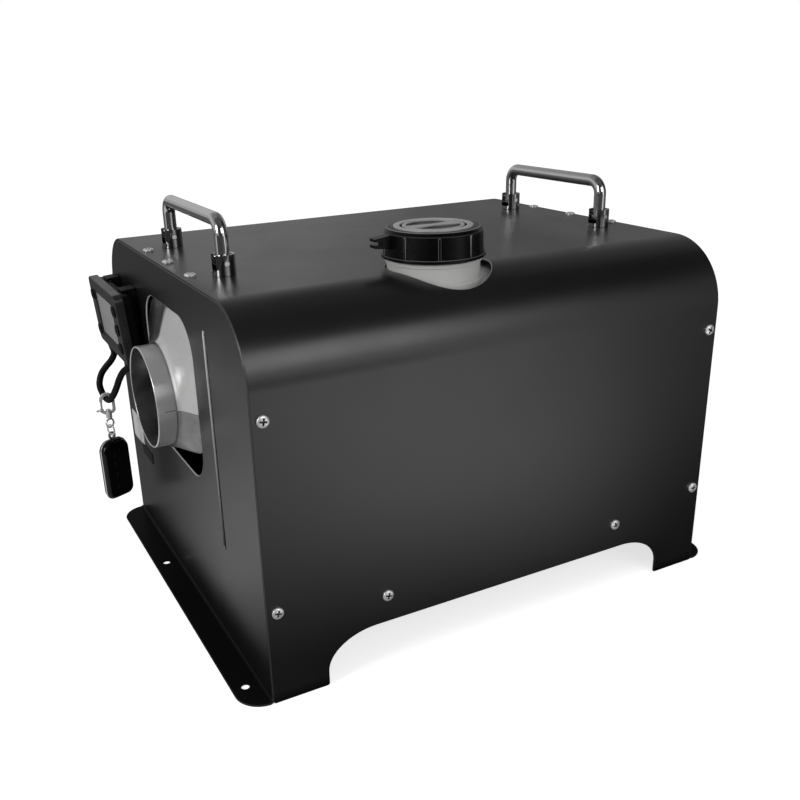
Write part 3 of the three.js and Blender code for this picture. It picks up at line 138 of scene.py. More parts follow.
def finished(form: bmesh.types.BMesh, name: str = "solid") -> bpy.types.Mesh:
    """Turns a form under construction into a mesh."""
    mesh = bpy.data.meshes.new(name)
    form.to_mesh(mesh)
    form.free()
    return mesh


def quarter_turn(steps: int) -> list[float]:
    """Returns the angles of a quarter turn, in even steps."""
    return [math.pi / 2 * k / steps for k in range(steps + 1)]


def spun(x: float, y: float, angle: float) -> tuple[float, float]:
    """Turns a flat vector anticlockwise."""
    return x * math.cos(angle) - y * math.sin(angle), x * math.sin(angle) + y * math.cos(angle)


def rounded_loop(corners: Sequence[Sequence[float]], steps: int = 10) -> Loop:
    """Makes a closed outline with rounded corners.

    Args:
        corners: x, y and, where the corner is round, its radius, anticlockwise.
        steps: chords on each round corner.

    Returns:
        The outline's points.
    """
    points: Loop = []
    count = len(corners)
    for i, corner in enumerate(corners):
        here = Vector(corner[:2])
        radius = corner[2] if len(corner) > 2 else 0
        if radius <= 0:
            points.append(here)
            continue
        back = (Vector(corners[i - 1][:2]) - here).normalized()
        ahead = (Vector(corners[(i + 1) % count][:2]) - here).normalized()
        half = math.acos(max(-1, min(1, back.dot(ahead)))) / 2
        start = here + back * (radius / math.tan(half))
        centre = here + (back + ahead).normalized() * (radius / math.sin(half))
        turn = math.pi - 2 * half
        side = 1 if back.x * ahead.y - back.y * ahead.x < 0 else -1
        arm = start - centre
        for k in range(steps + 1):
            points.append(centre + Vector(spun(arm.x, arm.y, side * turn * k / steps)))
    return points


def box_loop(
    x: float, y: float, width: float, height: float, radius: float, steps: int = 10
) -> Loop:
    """Returns a rounded rectangle about a middle point."""
    left, right, low, high = x - width / 2, x + width / 2, y - height / 2, y + height / 2
    corners = [(x, y, radius) for x, y in ((left, low), (right, low), (right, high), (left, high))]
    return rounded_loop(corners, steps)


def slot_loop(x: float, y: float, width: float, height: float, steps: int = 8) -> Loop:
    """Returns an upright slot with round ends about a middle point."""
    return box_loop(x, y, width, height, width / 2 - SLOT_FLAT, steps)


def circle_loop(x: float, y: float, radius: float, steps: int = 32) -> Loop:
    """Returns a circle about a middle point."""
    turns = [2 * math.pi * i / steps for i in range(steps)]
    return [Vector((x + radius * math.cos(a), y + radius * math.sin(a))) for a in turns]


def drawn_in(loop: Loop, amount: float) -> Loop:
    """Moves an outline to its left, into the material, by a distance."""
    moved = []
    for i, point in enumerate(loop):
        first = (point - loop[i - 1]).normalized()
        second = (loop[(i + 1) % len(loop)] - point).normalized()
        normals = Vector((-first.y, first.x)), Vector((-second.y, second.x))
        reach = 1 + normals[0].dot(normals[1])
        moved.append(point + (normals[0] + normals[1]) * (amount / reach))
    return moved


def smooth_route(points: Sequence[Sequence[float]], steps: int) -> list[Vector]:
    """Runs a centripetal Catmull-Rom curve through a route's points.

    Args:
        points: the route.
        steps: chords between two neighbouring points.

    Returns:
        Points along the curve, its ends included.
    """
    route = [Vector(p) for p in points]
    route = [2 * route[0] - route[1], *route, 2 * route[-1] - route[-2]]
    line = [route[1].copy()]
    for a, b, c, d in zip(route, route[1:], route[2:], route[3:]):
        gaps = [math.sqrt((q - p).length) for p, q in ((a, b), (b, c), (c, d))]
        first = (b - a) / gaps[0] - (c - a) / (gaps[0] + gaps[1]) + (c - b) / gaps[1]
        last = (c - b) / gaps[1] - (d - b) / (gaps[1] + gaps[2]) + (d - c) / gaps[2]
        first, last = first * gaps[1], last * gaps[1]
        for k in range(1, steps + 1):
            t = k / steps
            line.append(
                b * (2 * t**3 - 3 * t**2 + 1)
                + first * (t**3 - 2 * t**2 + t)
                + c * (3 * t**2 - 2 * t**3)
                + last * (t**3 - t**2)
            )
    return line


def held(profile: Sequence[Sequence[float]], distance: float = 0.45) -> list[tuple[float, float]]:
    """Returns a profile with a point on either side of each corner, so that a painted highlight stays beside
    the corner.
    """
    points: list[tuple[float, float]] = []
    for first, second in zip(profile, profile[1:]):
        run = math.dist(first, second)
        points.append(tuple(first))
        if run > 3 * distance:
            for along in (distance / run, 1 - distance / run):
                points.append(tuple(a + (b - a) * along for a, b in zip(first, second)))
    return [*points, tuple(profile[-1])]


class Solid:
    """A closed mesh, mostly in millimetres, that can be cut, joined and rounded."""

    def __init__(self, mesh: bpy.types.Mesh) -> None:
        """Wraps a mesh."""
        self.mesh = mesh

    @classmethod
    def of(cls, form: bmesh.types.BMesh) -> "Solid":
        """Closes a form under construction, with its faces pointing out."""
        bmesh.ops.remove_doubles(form, verts=form.verts, dist=1e-5)
        bmesh.ops.recalc_face_normals(form, faces=form.faces)
        return cls(finished(form))

    @classmethod
    def slab(
        cls,
        loops: Sequence[Loop],
        low: float,
        high: float,
        edge: float = 0,
        edge_steps: int = 3,
        folds: Sequence[float] = (),
        fold: Optional[Callable[[Vector], Vector]] = None,
        wear_and_light: Sequence[float] = (),
    ) -> "Solid":
        """Makes a plate from an outline and its holes, with rounded edges, and folds it where asked.

        Args:
            loops: the outline anticlockwise, then the holes clockwise.
            low: height of the lower face.
            high: height of the upper face.
            edge: radius of the rounded edges.
            edge_steps: chords on each rounded edge.
            folds: second coordinates where the plate needs an edge across it to bend.
            fold: takes a point of the flat plate to its place once folded.
            wear_and_light: how strongly each loop's edge is marked, from 0 to 1: rubbed paint on plain edges,
                a painted highlight round the openings, the slit and the ribs.

        Returns:
            The plate, with the wear and painted highlights of its edges as an attribute.
        """
        turns = quarter_turn(edge_steps) if edge else [0]
        profile = [(edge * (1 - math.sin(a)), low + edge * (1 - math.cos(a))) for a in turns]
        profile += [(inset, low + high - z) for inset, z in reversed(profile)]
        form = bmesh.new()
        wear = form.verts.layers.float.new(LIGHT_AND_WEAR)
        edges: dict[float, list[bmesh.types.BMEdge]] = {low: [], high: []}
        for loop, share in zip_longest(loops, wear_and_light, fillvalue=0.0):
            rings = []
            for inset, z in profile:
                ring = drawn_in(loop, inset) if inset else loop
                rings.append([form.verts.new((p.x, p.y, z)) for p in ring])
            for ring in rings[1:-1]:
                for vertex in ring:
                    vertex[wear] = share
            count = len(loop)
            for lower, upper in zip(rings, rings[1:]):
                for i in range(count):
                    j = (i + 1) % count
                    form.faces.new((lower[i], lower[j], upper[j], upper[i]))
            for height, ring in ((low, rings[0]), (high, rings[-1])):
                pairs = ((ring[i], ring[(i + 1) % count]) for i in range(count))
                edges[height] += [form.edges.get(pair) for pair in pairs]
        for rim in edges.values():
            bmesh.ops.triangle_fill(form, use_beauty=True, use_dissolve=False, edges=rim)
        for place in folds:
            geometry = [*form.verts, *form.edges, *form.faces]
            bmesh.ops.bisect_plane(form, geom=geometry, plane_co=(0, place, 0), plane_no=(0, 1, 0))
        if fold:
            for vertex in form.verts:
                vertex.co = fold(vertex.co.copy())
        return cls.of(form)

    @classmethod
    def loft(cls, rings: Sequence[Sequence[Vector]], closed: bool = False) -> "Solid":
        """Skins rings of equally many points.

        Args:
            rings: the rings in order.
            closed: whether the last ring joins the first, as in a pipe's wall.

        Returns:
            The skinned solid, capped at both ends unless closed.
        """
        form = bmesh.new()
        skins = [[form.verts.new(p) for p in ring] for ring in rings]
        count = len(rings[0])
        pairs = list(zip(skins, skins[1:]))
        if closed:
            pairs.append((skins[-1], skins[0]))
        for lower, upper in pairs:
            for i in range(count):
                j = (i + 1) % count
                form.faces.new((lower[i], lower[j], upper[j], upper[i]))
        if not closed:
            form.faces.new(list(reversed(skins[0])))
            form.faces.new(skins[-1])
        return cls.of(form)

    @classmethod
    def turned(cls, axis: Axis, profile: Sequence[Sequence[float]], steps: int = 64) -> "Solid":
        """Turns a profile of (radius, height) about an axis. It starts and ends on the axis, or closes."""
        form = bmesh.new()
        rings = []
        for radius, height in profile:
            if radius < 1e-6:
                rings.append([form.verts.new((0, 0, height))])
                continue
            circle = circle_loop(0, 0, radius, steps)
            rings.append([form.verts.new((p.x, p.y, height)) for p in circle])
        pairs = list(zip(rings, rings[1:]))
        if len(rings[0]) > 1:
            pairs.append((rings[-1], rings[0]))
        for lower, upper in pairs:
            for i in range(steps):
                sides = ((lower, i), (lower, (i + 1) % steps), (upper, (i + 1) % steps), (upper, i))
                corners = list(dict.fromkeys(ring[k % len(ring)] for ring, k in sides))
                if len(corners) > 2:
                    form.faces.new(corners)
        return cls.of(form).moved(axis.stand())

    @classmethod
    def rod(cls, axis: Axis, radius: float, low: float, high: float, steps: int = 48) -> "Solid":
        """Makes a plain round rod along an axis."""
        return cls.turned(axis, [(0, low), (radius, low), (radius, high), (0, high)], steps)

    @classmethod
    def block(cls, low: Sequence[float], high: Sequence[float]) -> "Solid":
        """Makes a box between two corners, for cutting."""
        corners = [(low[0], low[1]), (high[0], low[1]), (high[0], high[1]), (low[0], high[1])]
        return cls.slab([[Vector(c) for c in corners]], low[2], high[2])

    @classmethod
    def swept(cls, path: Sequence[Vector], radius: float, sides: int = 32) -> "Solid":
        """Runs a round bar along a path of points, without twist."""
        rings = []
        ahead = (path[1] - path[0]).normalized()
        across = ahead.orthogonal().normalized()
        for i, point in enumerate(path):
            before = path[max(i - 1, 0)]
            after = path[min(i + 1, len(path) - 1)]
            ahead = (after - before).normalized()
            across = (across - ahead * across.dot(ahead)).normalized()
            up = ahead.cross(across)
            turns = [2 * math.pi * k / sides for k in range(sides)]
            rings.append([point + (across * math.cos(a) + up * math.sin(a)) * radius for a in turns])
        return cls.loft(rings)

    @classmethod
    def of_node(cls, node: str, flat_deg: float = 1.0) -> "Solid":
        """Copies a CAD node, merged and with its flat faces whole. It is in metres, in place."""
        form = bmesh.new()
        form.from_mesh(frame["nodes"][node].data)
        bmesh.ops.remove_doubles(form, verts=form.verts, dist=1e-6)
        limit = math.radians(flat_deg)
        bmesh.ops.dissolve_limit(form, angle_limit=limit, verts=form.verts, edges=form.edges)
        return cls(finished(form, node))

    def _worked(self, steps: Iterable[tuple[str, dict]]) -> "Solid":
        """Returns what modifiers make of the mesh.

        Args:
            steps: each modifier's kind and its settings, in order.

        Returns:
            A new solid, with the modifiers applied.
        """
        worker = put("worker", self.mesh)
        for kind, settings in steps:
            modifier = worker.modifiers.new(kind.lower(), kind)
            for name, value in settings.items():
                setattr(modifier, name, value)
        made = evaluated_mesh(worker)
        bpy.data.objects.remove(worker)
        return Solid(made)

    def combined(self, action: Boolean, *others: "Solid") -> "Solid":
        """Cuts, joins or keeps what is common with other solids, one after another."""
        tools = [put("tool", other.mesh) for other in others]
        same = {"operation": action.value, "solver": "EXACT"}
        made = self._worked(("BOOLEAN", {**same, "object": tool}) for tool in tools)
        for tool in tools:
            bpy.data.objects.remove(tool)
        return made

    def cut(self, *others: "Solid") -> "Solid":
        """Returns the solid without the others."""
        return self.combined(Boolean.CUT, *others)

    def joined(self, *others: "Solid") -> "Solid":
        """Returns the solid with the others."""
        return self.combined(Boolean.JOIN, *others)

    def kept(self, other: "Solid") -> "Solid":
        """Returns what the solid has in common with another."""
        return self.combined(Boolean.KEEP, other)

    def beside(self, *others: "Solid") -> "Solid":
        """Puts others into the same mesh, as bodies of their own."""
        form = bmesh.new()
        for solid in (self, *others):
            form.from_mesh(solid.mesh)
        return Solid(finished(form))

    def moved(self, matrix: Matrix) -> "Solid":
        """Returns the same solid, moved."""
        self.mesh.transform(matrix)
        return self

    def at(self, x: float = 0, y: float = 0, z: float = 0) -> "Solid":
        """Returns the same solid, shifted."""
        return self.moved(Matrix.Translation((x, y, z)))

    def softened(self, width: float, segments: int = 2, angle_deg: float = 32) -> "Solid":
        """Returns the solid with its sharp edges rounded."""
        settings = {
            "width": width,
            "segments": segments,
            "limit_method": "ANGLE",
            "angle_limit": math.radians(angle_deg),
            "miter_outer": "MITER_ARC",
            "use_clamp_overlap": True,
        }
        return self._worked([("BEVEL", settings)])

    def with_light_and_wear(self, share_at: Callable[[Vector], float]) -> "Solid":
        """Returns the same solid, with painted highlights and painted shade set point by point in its wear
        attribute.
        """
        attributes = self.mesh.attributes
        wear = attributes.get(LIGHT_AND_WEAR) or attributes.new(LIGHT_AND_WEAR, "FLOAT", "POINT")
        wear.data.foreach_set("value", [share_at(vertex.co) for vertex in self.mesh.vertices])
        return self

    def faded(self, share_at: Callable[[Vector], float]) -> "Solid":
        """Returns the same solid, with the wear and painted light of its surface lessened point by point."""
        wear = self.mesh.attributes[LIGHT_AND_WEAR].data
        shares = [item.value * share_at(vertex.co) for item, vertex in zip(wear, self.mesh.vertices)]
        wear.foreach_set("value", shares)
        return self

    def shaded(self, crease_deg: float = 38) -> "Solid":
        """Returns the solid shaded smooth, with flat faces that stay flat."""
        for polygon in self.mesh.polygons:
            polygon.use_smooth = True
        self.mesh.set_sharp_from_angle(angle=math.radians(crease_deg))
        return self._worked([("WEIGHTED_NORMAL", {"mode": "FACE_AREA", "keep_sharp": True})])


class Graph:
    """Adds nodes to a tree and joins them."""

    def __init__(self, tree: bpy.types.NodeTree) -> None:
        """Empties the tree."""
        self.tree = tree
        tree.nodes.clear()

    def add(self, kind: str, inputs: Optional[dict] = None, **settings: object) -> bpy.types.Node:
        """Adds one node.

        Args:
            kind: the node's type.
            inputs: values, or other nodes' outputs, by socket name or number.
            settings: the node's own options.

        Returns:
            The node.
        """
        node = self.tree.nodes.new(kind)
        for name, value in settings.items():
            setattr(node, name, value)
        self.feed(node, inputs or {})
        return node

    def feed(self, node: bpy.types.Node, inputs: dict) -> None:
        """Sets some of a node's inputs to values or to other nodes' outputs."""
        for key, value in inputs.items():
            if isinstance(value, Socket):
                self.tree.links.new(value, node.inputs[key])
            else:
                node.inputs[key].default_value = value

    def math(self, action: str, *values: object) -> Socket:
        """Works out one sum from numbers or other nodes' outputs."""
        return self.add("ShaderNodeMath", dict(enumerate(values)), operation=action).outputs[0]

    def chained(self, action: str, *values: object) -> Socket:
        """Works out a sum of many values, one after another."""
        total = values[0]
        for value in values[1:]:
            total = self.math(action, total, value)
        return total

    def mixed(self, mask: Socket, *colors: object) -> Socket:
        """Blends from one colour to another by a mask."""
        first, second = (c if isinstance(c, Socket) else (*c, 1) for c in colors)
        ends = {0: mask, 6: first, 7: second}
        return self.add("ShaderNodeMix", ends, data_type="RGBA").outputs[2]

    def ranged(self, value: Socket, ramp: Ramp) -> Socket:
        """Takes a value along a ramp."""
        ends = {"From Min": ramp.start, "From Max": ramp.end, "To Min": ramp.before, "To Max": ramp.after}
        return self.add("ShaderNodeMapRange", {"Value": value, **ends}).outputs[0]

    def noise(self, place: Socket, scale: object, **others: float) -> Socket:
        """Returns a noise's strength at a place."""
        inputs = {"Vector": place, "Scale": scale, **{k.capitalize(): v for k, v in others.items()}}
        return self.add("ShaderNodeTexNoise", inputs).outputs[0]

    def stretched(self, place: Socket, scales: object) -> Socket:
        """Scales a place by a number for each axis."""
        return self.add("ShaderNodeVectorMath", {0: place, 1: scales}, operation="MULTIPLY").outputs[0]

    def product(self, *ramps: tuple[Socket, Ramp]) -> Socket:
        """Multiplies what several values come to along their ramps."""
        return self.chained("MULTIPLY", *(self.ranged(value, ramp) for value, ramp in ramps))

    def lit(self, kind: str, strength: object) -> Socket:
        """Returns a white light of a strength, for a surface or a world."""
        return self.add(kind, {"Color": (1, 1, 1, 1), "Strength": strength}).outputs[0]

    def chosen(self, mask: Socket, *shaders: Socket) -> Socket:
        """Returns the first of two shaders, or the second where the mask is on."""
        return self.add("ShaderNodeMixShader", {0: mask, 1: shaders[0], 2: shaders[1]}).outputs[0]

    def rays(self) -> tuple[Socket, Socket]:
        """Returns masks for rays that the eye sees, through glass too, and for glossy rays."""
        ray = self.add("ShaderNodeLightPath").outputs
        return self.math("MAXIMUM", ray["Is Camera Ray"], ray["Is Transmission Ray"]), ray["Is Glossy Ray"]

    def split(self, output: str) -> list[Socket]:
        """Returns the three numbers of one of the texture coordinates."""
        place = self.add("ShaderNodeTexCoord").outputs[output]
        return list(self.add("ShaderNodeSeparateXYZ", {0: place}).outputs)


def new_group(
    name: str, inputs: dict[str, Optional[float]], outputs: Sequence[str]
) -> tuple[Graph, bpy.types.Node, bpy.types.Node]:
    """Starts a shader node group.

    Args:
        name: the group's name.
        inputs: each input's first value by its name, or None for a vector.
        outputs: the names of the outputs.

    Returns:
        The group's graph, its input node and its output node.
    """
    tree = bpy.data.node_groups.new(name, "ShaderNodeTree")
    for label, value in inputs.items():
        kind = "NodeSocketVector" if value is None else "NodeSocketFloat"
        socket = tree.interface.new_socket(label, in_out="INPUT", socket_type=kind)
        if value is not None:
            socket.default_value = value
    for label in outputs:
        tree.interface.new_socket(label, in_out="OUTPUT", socket_type="NodeSocketFloat")
    graph = Graph(tree)
    return graph, graph.add("NodeGroupInput"), graph.add("NodeGroupOutput")


@dataclass
class Effects:
    """Shader groups that several finishes share. Each puts out only what changes over a surface."""

    cell_smoothness: float = 0.6
    speck_ramp: Ramp = Ramp(0.58, 0.72)
    cloud_ramp: Ramp = Ramp(0.36, 0.66)
    scratch_ramp: Ramp = Ramp(0.655, 0.69)
    scratch_scale: float = 55.0
    scratch_stretch: Triple = (1.0, 9.0, 3.0)

    def __post_init__(self) -> None:
        """Builds the groups once."""
        self.grain = self._grain()
        self.clouds = self._clouds()
        self.lines = self._lines()

    def _grain(self) -> bpy.types.NodeTree:
        """Fine pebbled grain of sprayed paint and moulded plastic, with a height and a speck mask."""
        graph, inside, outside = new_group(
            "pebbled_grain", {"Vector": None, "Scale": 900}, ["Height", "Specks"]
        )
        place, size = inside.outputs["Vector"], inside.outputs["Scale"]
        fine = graph.noise(place, size, detail=2.0)
        inputs = {"Vector": place, "Scale": size, "Smoothness": self.cell_smoothness}
        cells = graph.add("ShaderNodeTexVoronoi", inputs, feature="SMOOTH_F1")
        height = graph.math("SUBTRACT", fine, cells.outputs["Distance"])
        graph.feed(outside, {"Height": height, "Specks": graph.ranged(fine, self.speck_ramp)})
        return graph.tree

    def _clouds(self) -> bpy.types.NodeTree:
        """Slow cloudy change of tone, as handling, dust and casting leave, and fine scratches."""
        graph, inside, outside = new_group(
            "cloudy_wear", {"Vector": None, "Scale": 14}, ["Clouds", "Scratches"]
        )
        place = inside.outputs["Vector"]
        slow = graph.noise(place, inside.outputs["Scale"], detail=5.0, roughness=0.62, distortion=0.6)
        drawn = graph.stretched(place, self.scratch_stretch)
        fine = graph.noise(drawn, self.scratch_scale, detail=3.0, roughness=0.7, distortion=1.4)
        masks = {"Clouds": (slow, self.cloud_ramp), "Scratches": (fine, self.scratch_ramp)}
        graph.feed(outside, {name: graph.ranged(*mask) for name, mask in masks.items()})
        return graph.tree

    def _lines(self) -> bpy.types.NodeTree:
        """Tool lines round a turned or brushed piece, broken up a little along their way."""
        graph, inside, outside = new_group("tool_lines", {"Vector": None, "Stretch": None}, ["Height"])
        drawn = graph.stretched(inside.outputs["Vector"], inside.outputs["Stretch"])
        graph.feed(outside, {"Height": graph.noise(drawn, 1.0, detail=3.0, roughness=0.55)})
        return graph.tree


@dataclass(frozen=True)
class Finish:
    """One finish: its colour, its gloss, and the detail that its surface shows, with reliefs in microns."""

    name: str
    slot: str
    color: Triple
    tone: Triple
    roughness: float
    spread: float
    metallic: float = 0.0
    grain: float = 900.0
    grain_um: float = 20.0
    cloud_scale: float = 14.0
    tone_share: float = 0.5
    scratch_share: float = 0.1
    scratch_gain: float = 1.5
    scratch_lift: float = 0.03
    stretch: Triple = (0.0, 0.0, 0.0)
    line_um: float = 0.0
    coat: float = 0.0
    coat_roughness: float = 0.1
    specular: float = 0.5
    subsurface: float = 0.0
    # The mark colour laid where the wear attribute is on: rubbed-through metal on the powder coat's plain
    # edges, and painted highlights and painted shade on the other finishes, as each one says.
    wear_and_light: Optional[Triple] = None
    wear_and_light_metallic: float = 1.0
    wear_and_light_ramp: Ramp = Ramp(0.0, 1.0, 0.85, 1.0)
    dull_from: float = 0.002
    dull_below: float = 0.0
    dull_share: float = 0.02

    def _bump(self, graph: Graph, height: Socket, microns: float, **below: Socket) -> Socket:
        """Returns the surface's normal with one more relief on it."""
        inputs = {"Height": height, "Strength": 1.0, "Distance": microns * MICRON, **below}
        return graph.add("ShaderNodeBump", inputs).outputs[0]

    def material(self, effects: Effects) -> bpy.types.Material:
        """Builds the material.

        Args:
            effects: the shared shader groups.

        Returns:
            The material.
        """
        made = bpy.data.materials.new(self.name)
        made.use_nodes = True
        graph = Graph(made.node_tree)
        place = graph.add("ShaderNodeTexCoord").outputs["Object"]
        grain = graph.add("ShaderNodeGroup", node_tree=effects.grain)
        graph.feed(grain, {"Vector": place, "Scale": self.grain})
        wear = graph.add("ShaderNodeGroup", node_tree=effects.clouds)
        graph.feed(wear, {"Vector": place, "Scale": self.cloud_scale})
        clouds, scratches = wear.outputs["Clouds"], wear.outputs["Scratches"]
        color = graph.mixed(graph.ranged(clouds, Ramp(0, 1, 0, self.tone_share)), self.color, self.tone)
        paler = tuple(min(1.0, c * self.scratch_gain + self.scratch_lift) for c in self.color)
        color = graph.mixed(graph.ranged(scratches, Ramp(0, 1, 0, self.scratch_share)), color, paler)
        metal: object = self.metallic
        # The mark colour goes where the wear attribute is on: rubbed paint, painted highlights and painted
        # shade, by finish.
        if self.wear_and_light:
            edges = graph.add("ShaderNodeAttribute", attribute_name=LIGHT_AND_WEAR).outputs["Fac"]
            with_light_and_wear = graph.math("MULTIPLY", edges, graph.ranged(clouds, self.wear_and_light_ramp))
            color = graph.mixed(with_light_and_wear, color, self.wear_and_light)
            metal = graph.math("MAXIMUM", graph.math("MULTIPLY", with_light_and_wear, self.wear_and_light_metallic), self.metallic)
        low, high = self.roughness - self.spread / 2, self.roughness + self.spread / 2
        normal = self._bump(graph, grain.outputs["Height"], self.grain_um)
        if self.line_um:
            lines = graph.add("ShaderNodeGroup", node_tree=effects.lines)
            graph.feed(lines, {"Vector": place, "Stretch": self.stretch})
            normal = self._bump(graph, lines.outputs["Height"], self.line_um, Normal=normal)
        shine: object = self.specular
        if self.dull_below:
            faded = Ramp(self.dull_from, self.dull_below, self.specular * self.dull_share, self.specular)
            shine = graph.ranged(graph.split("Object")[2], faded)
        shader = graph.add(
            "ShaderNodeBsdfPrincipled",
            {
                "Base Color": color,
                "Roughness": graph.ranged(clouds, Ramp(0, 1, low, high)),
                "Metallic": metal,
                "Normal": normal,
                "Coat Weight": self.coat,
                "Coat Roughness": self.coat_roughness,
                "Specular IOR Level": shine,
                "Subsurface Weight": self.subsurface,
                "Subsurface Radius": (0.004, 0.004, 0.004),
            },
        )
        graph.add("ShaderNodeOutputMaterial", {"Surface": shader.outputs[0]})
        return made


def tint(level: float, blue: Optional[float] = None) -> Triple:
    """Returns a grey, with its blue a little off where that is given."""
    return level, level, level if blue is None else blue


# Its near-black mark colour is painted shade in the screws' cross recesses.
ZINC_STEEL = Finish(
    "zinc_steel", "steel", tint(0.95), tint(0.85), 0.3, 0.12, metallic=0.6, grain=1600,
    grain_um=10, cloud_scale=80, stretch=(60, 60, 1400), line_um=10, wear_and_light=tint(0.004),
)
CHROME = Finish(
    "chrome", "chrome", tint(0.80, 0.81), tint(0.72, 0.73), 0.06, 0.04, metallic=1.0, grain=300,
    grain_um=3, cloud_scale=60, tone_share=0.4,
)
FINISHES = (
    # Powder coat: its pale mark colour is rubbed-through metal on plain edges, and a painted highlight round
    # the openings and the filler hole and in the slit's upper half.
    Finish(
        "powder_coat", "case_paint", tint(0.0055, 0.0057), tint(0.0080, 0.0082), 0.30, 0.05, grain=1100,
        grain_um=10, cloud_scale=9, scratch_share=0.08, specular=0.87, wear_and_light=tint(0.9),
        wear_and_light_metallic=0.3, dull_below=0.009,
    ),
    Finish(
        "tank_plastic", "tank_plastic", tint(0.56, 0.55), tint(0.48, 0.47), 0.42, 0.12, grain=600,
        cloud_scale=30, subsurface=0.25,
    ),
    # Its pale mark colour is a painted highlight on the cap's rims and ribs.
    Finish(
        "cap_plastic", "cap_plastic", tint(0.0025, 0.0026), tint(0.005, 0.0051), 0.28, 0.08, grain=1500,
        grain_um=5, cloud_scale=60, scratch_share=0.15, specular=0.16, wear_and_light=tint(0.45),
        wear_and_light_metallic=0.2,
    ),
    # The hood's near-black mark colour is painted shade, laid by the casing's shade mask.
    Finish(
        "cast_hood", "casing_metal", tint(0.74, 0.735), tint(0.60, 0.595), 0.42, 0.14, metallic=0.5,
        grain=700, cloud_scale=38, tone_share=0.7, scratch_share=0.2, wear_and_light=tint(0.01),
    ),
    # The duct's darker mark colour is painted shade inside the duct and in its seams.
    Finish(
        "duct_metal", "duct_metal", tint(0.84), tint(0.70), 0.22, 0.08, metallic=0.65,
        grain_um=5, cloud_scale=45, scratch_share=0.2, stretch=(500, 30, 30),
        line_um=20, wear_and_light=tint(0.36),
    ),
    # The cap top's light grey is a painted sheen on the same black plastic, with scuffs; its near-black mark
    # colour is painted shade in the recesses.
    Finish(
        "cap_painted_sheen", "cap_plastic", tint(0.40), tint(0.60), 0.32, 0.1, grain=1500, grain_um=5,
        cloud_scale=50, scratch_share=0.3, specular=0.6, wear_and_light=tint(0.002), wear_and_light_metallic=0.0,
    ),
    Finish(
        "dark_plastic", "dark_plastic", tint(0.004, 0.0041), tint(0.007, 0.0071), 0.45, 0.12, grain=1300,
        grain_um=10, specular=0.2,
    ),
    Finish(
        "cast_alloy", "cast_alloy", (0.32, 0.33, 0.33), (0.22, 0.225, 0.23), 0.52, 0.14, metallic=0.85,
        grain=500, grain_um=80, tone_share=0.8,
    ),
    ZINC_STEEL,
    replace(ZINC_STEEL, name="clasp_chrome", slot="chrome", wear_and_light=None),
    Finish(
        "label_metal", "steel", tint(0.85), tint(0.72), 0.42, 0.1, metallic=0.2, grain=1600,
        grain_um=5, cloud_scale=60,
    ),
    CHROME,
    # A darker copy of the chrome for the posts: painted shade that dims their reflections.
    replace(CHROME, name="post_chrome", color=tint(0.42, 0.425), tone=tint(0.36, 0.365), roughness=0.08),
    Finish(
        "black_rubber", "rubber", tint(0.003), tint(0.006), 0.5, 0.14, grain=1400, grain_um=10,
        cloud_scale=50, specular=0.15,
    ),
    Finish(
        "bezel_plastic", "controller_plastic", tint(0.018, 0.0182), tint(0.034, 0.0342), 0.3, 0.1,
        grain=1500, grain_um=5, cloud_scale=60, specular=0.6,
    ),
    Finish(
        "screen_glass", "screen", (0.36, 0.365, 0.36), (0.42, 0.425, 0.42), 0.25, 0.06, grain=500,
        grain_um=0.5, cloud_scale=25, coat=0.2, coat_roughness=0.06,
    ),
    Finish(
        "gloss_black", "remote_plastic", tint(0.0015, 0.0016), tint(0.003, 0.0031), 0.14, 0.06,
        grain_um=2, cloud_scale=60, specular=0.3,
    ),
    Finish("fuel_hose", "hose", (0.03, 0.035, 0.03), (0.045, 0.05, 0.045), 0.5, 0.12, grain=1200),
)


class Workshop:
    """Makes finished pieces out of solids, and keeps the finishes."""

    def __init__(self) -> None:
        """Builds every finish once."""
        effects = Effects()
        self.finish = {f.name: f for f in FINISHES}
        self.material = {f.name: f.material(effects) for f in FINISHES}

    def piece(
        self,
        name: str,
        solid: Solid,
        place: Matrix,
        finish: str,
        body: str = "case",
        replaces: Sequence[str] = (),
        crease_deg: float = 38,
    ) -> bpy.types.Object:
        """Turns a solid into a finished piece, with its place in its mesh.

        Args:
            name: the piece's name.
            solid: its shape, in the frame that place stands for.
            place: takes that frame to the scene's.
            finish: the name of its finish.
            body: the body that it rides on.
            replaces: CAD nodes that it stands for.
            crease_deg: edges sharper than this stay sharp.

        Returns:
            The piece.
        """
        made = solid.moved(place).shaded(crease_deg).mesh
        made.name = name
        made.materials.clear()
        made.materials.append(self.material[finish])
        return self.enter(put(name, made), finish, body, replaces)

    def enter(
        self, thing: bpy.types.Object, finish: str, body: str, replaces: Sequence[str] = ()
    ) -> bpy.types.Object:
        """Makes a piece ride on its body, and hides the CAD nodes that it stands for."""
        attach(thing, body)
        if replaces:
            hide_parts(*replaces)
        LOG.info("%s rides on %s", thing.name, body)
        return thing

    def refined(
        self, node: str, finish: str, width: float = 0.4, segments: int = 2, angle_deg: float = 32
    ) -> bpy.types.Object:
        """Replaces a CAD node by a copy of itself with rounded edges.

        Args:
            node: the CAD node.
            finish: the name of its finish.
            width: width of the rounding, in millimetres.
            segments: faces across the rounding.
            angle_deg: edges flatter than this stay as they are.

        Returns:
            The piece.
        """
        solid = Solid.of_node(node).softened(width * MM, segments, angle_deg)
        return self.skin(node, solid, Matrix.Identity(4), finish)

    def skin(
        self, node: str, solid: Solid, place: Matrix, finish: str, crease_deg: float = 38
    ) -> bpy.types.Object:
        """Makes the piece that stands for a CAD node, on the node's own body."""
        body = frame["nodes"][node]["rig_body"]
        return self.piece(f"{node}_skin", solid, place, finish, body, [node], crease_deg)

    def dress(self, nodes: Iterable[str], finish: str) -> None:
        """Gives CAD nodes that stay as they are a finish."""
        for node in nodes:
            thing = frame["nodes"][node]
            thing.data.materials.clear()
            thing.data.materials.append(self.material[finish])


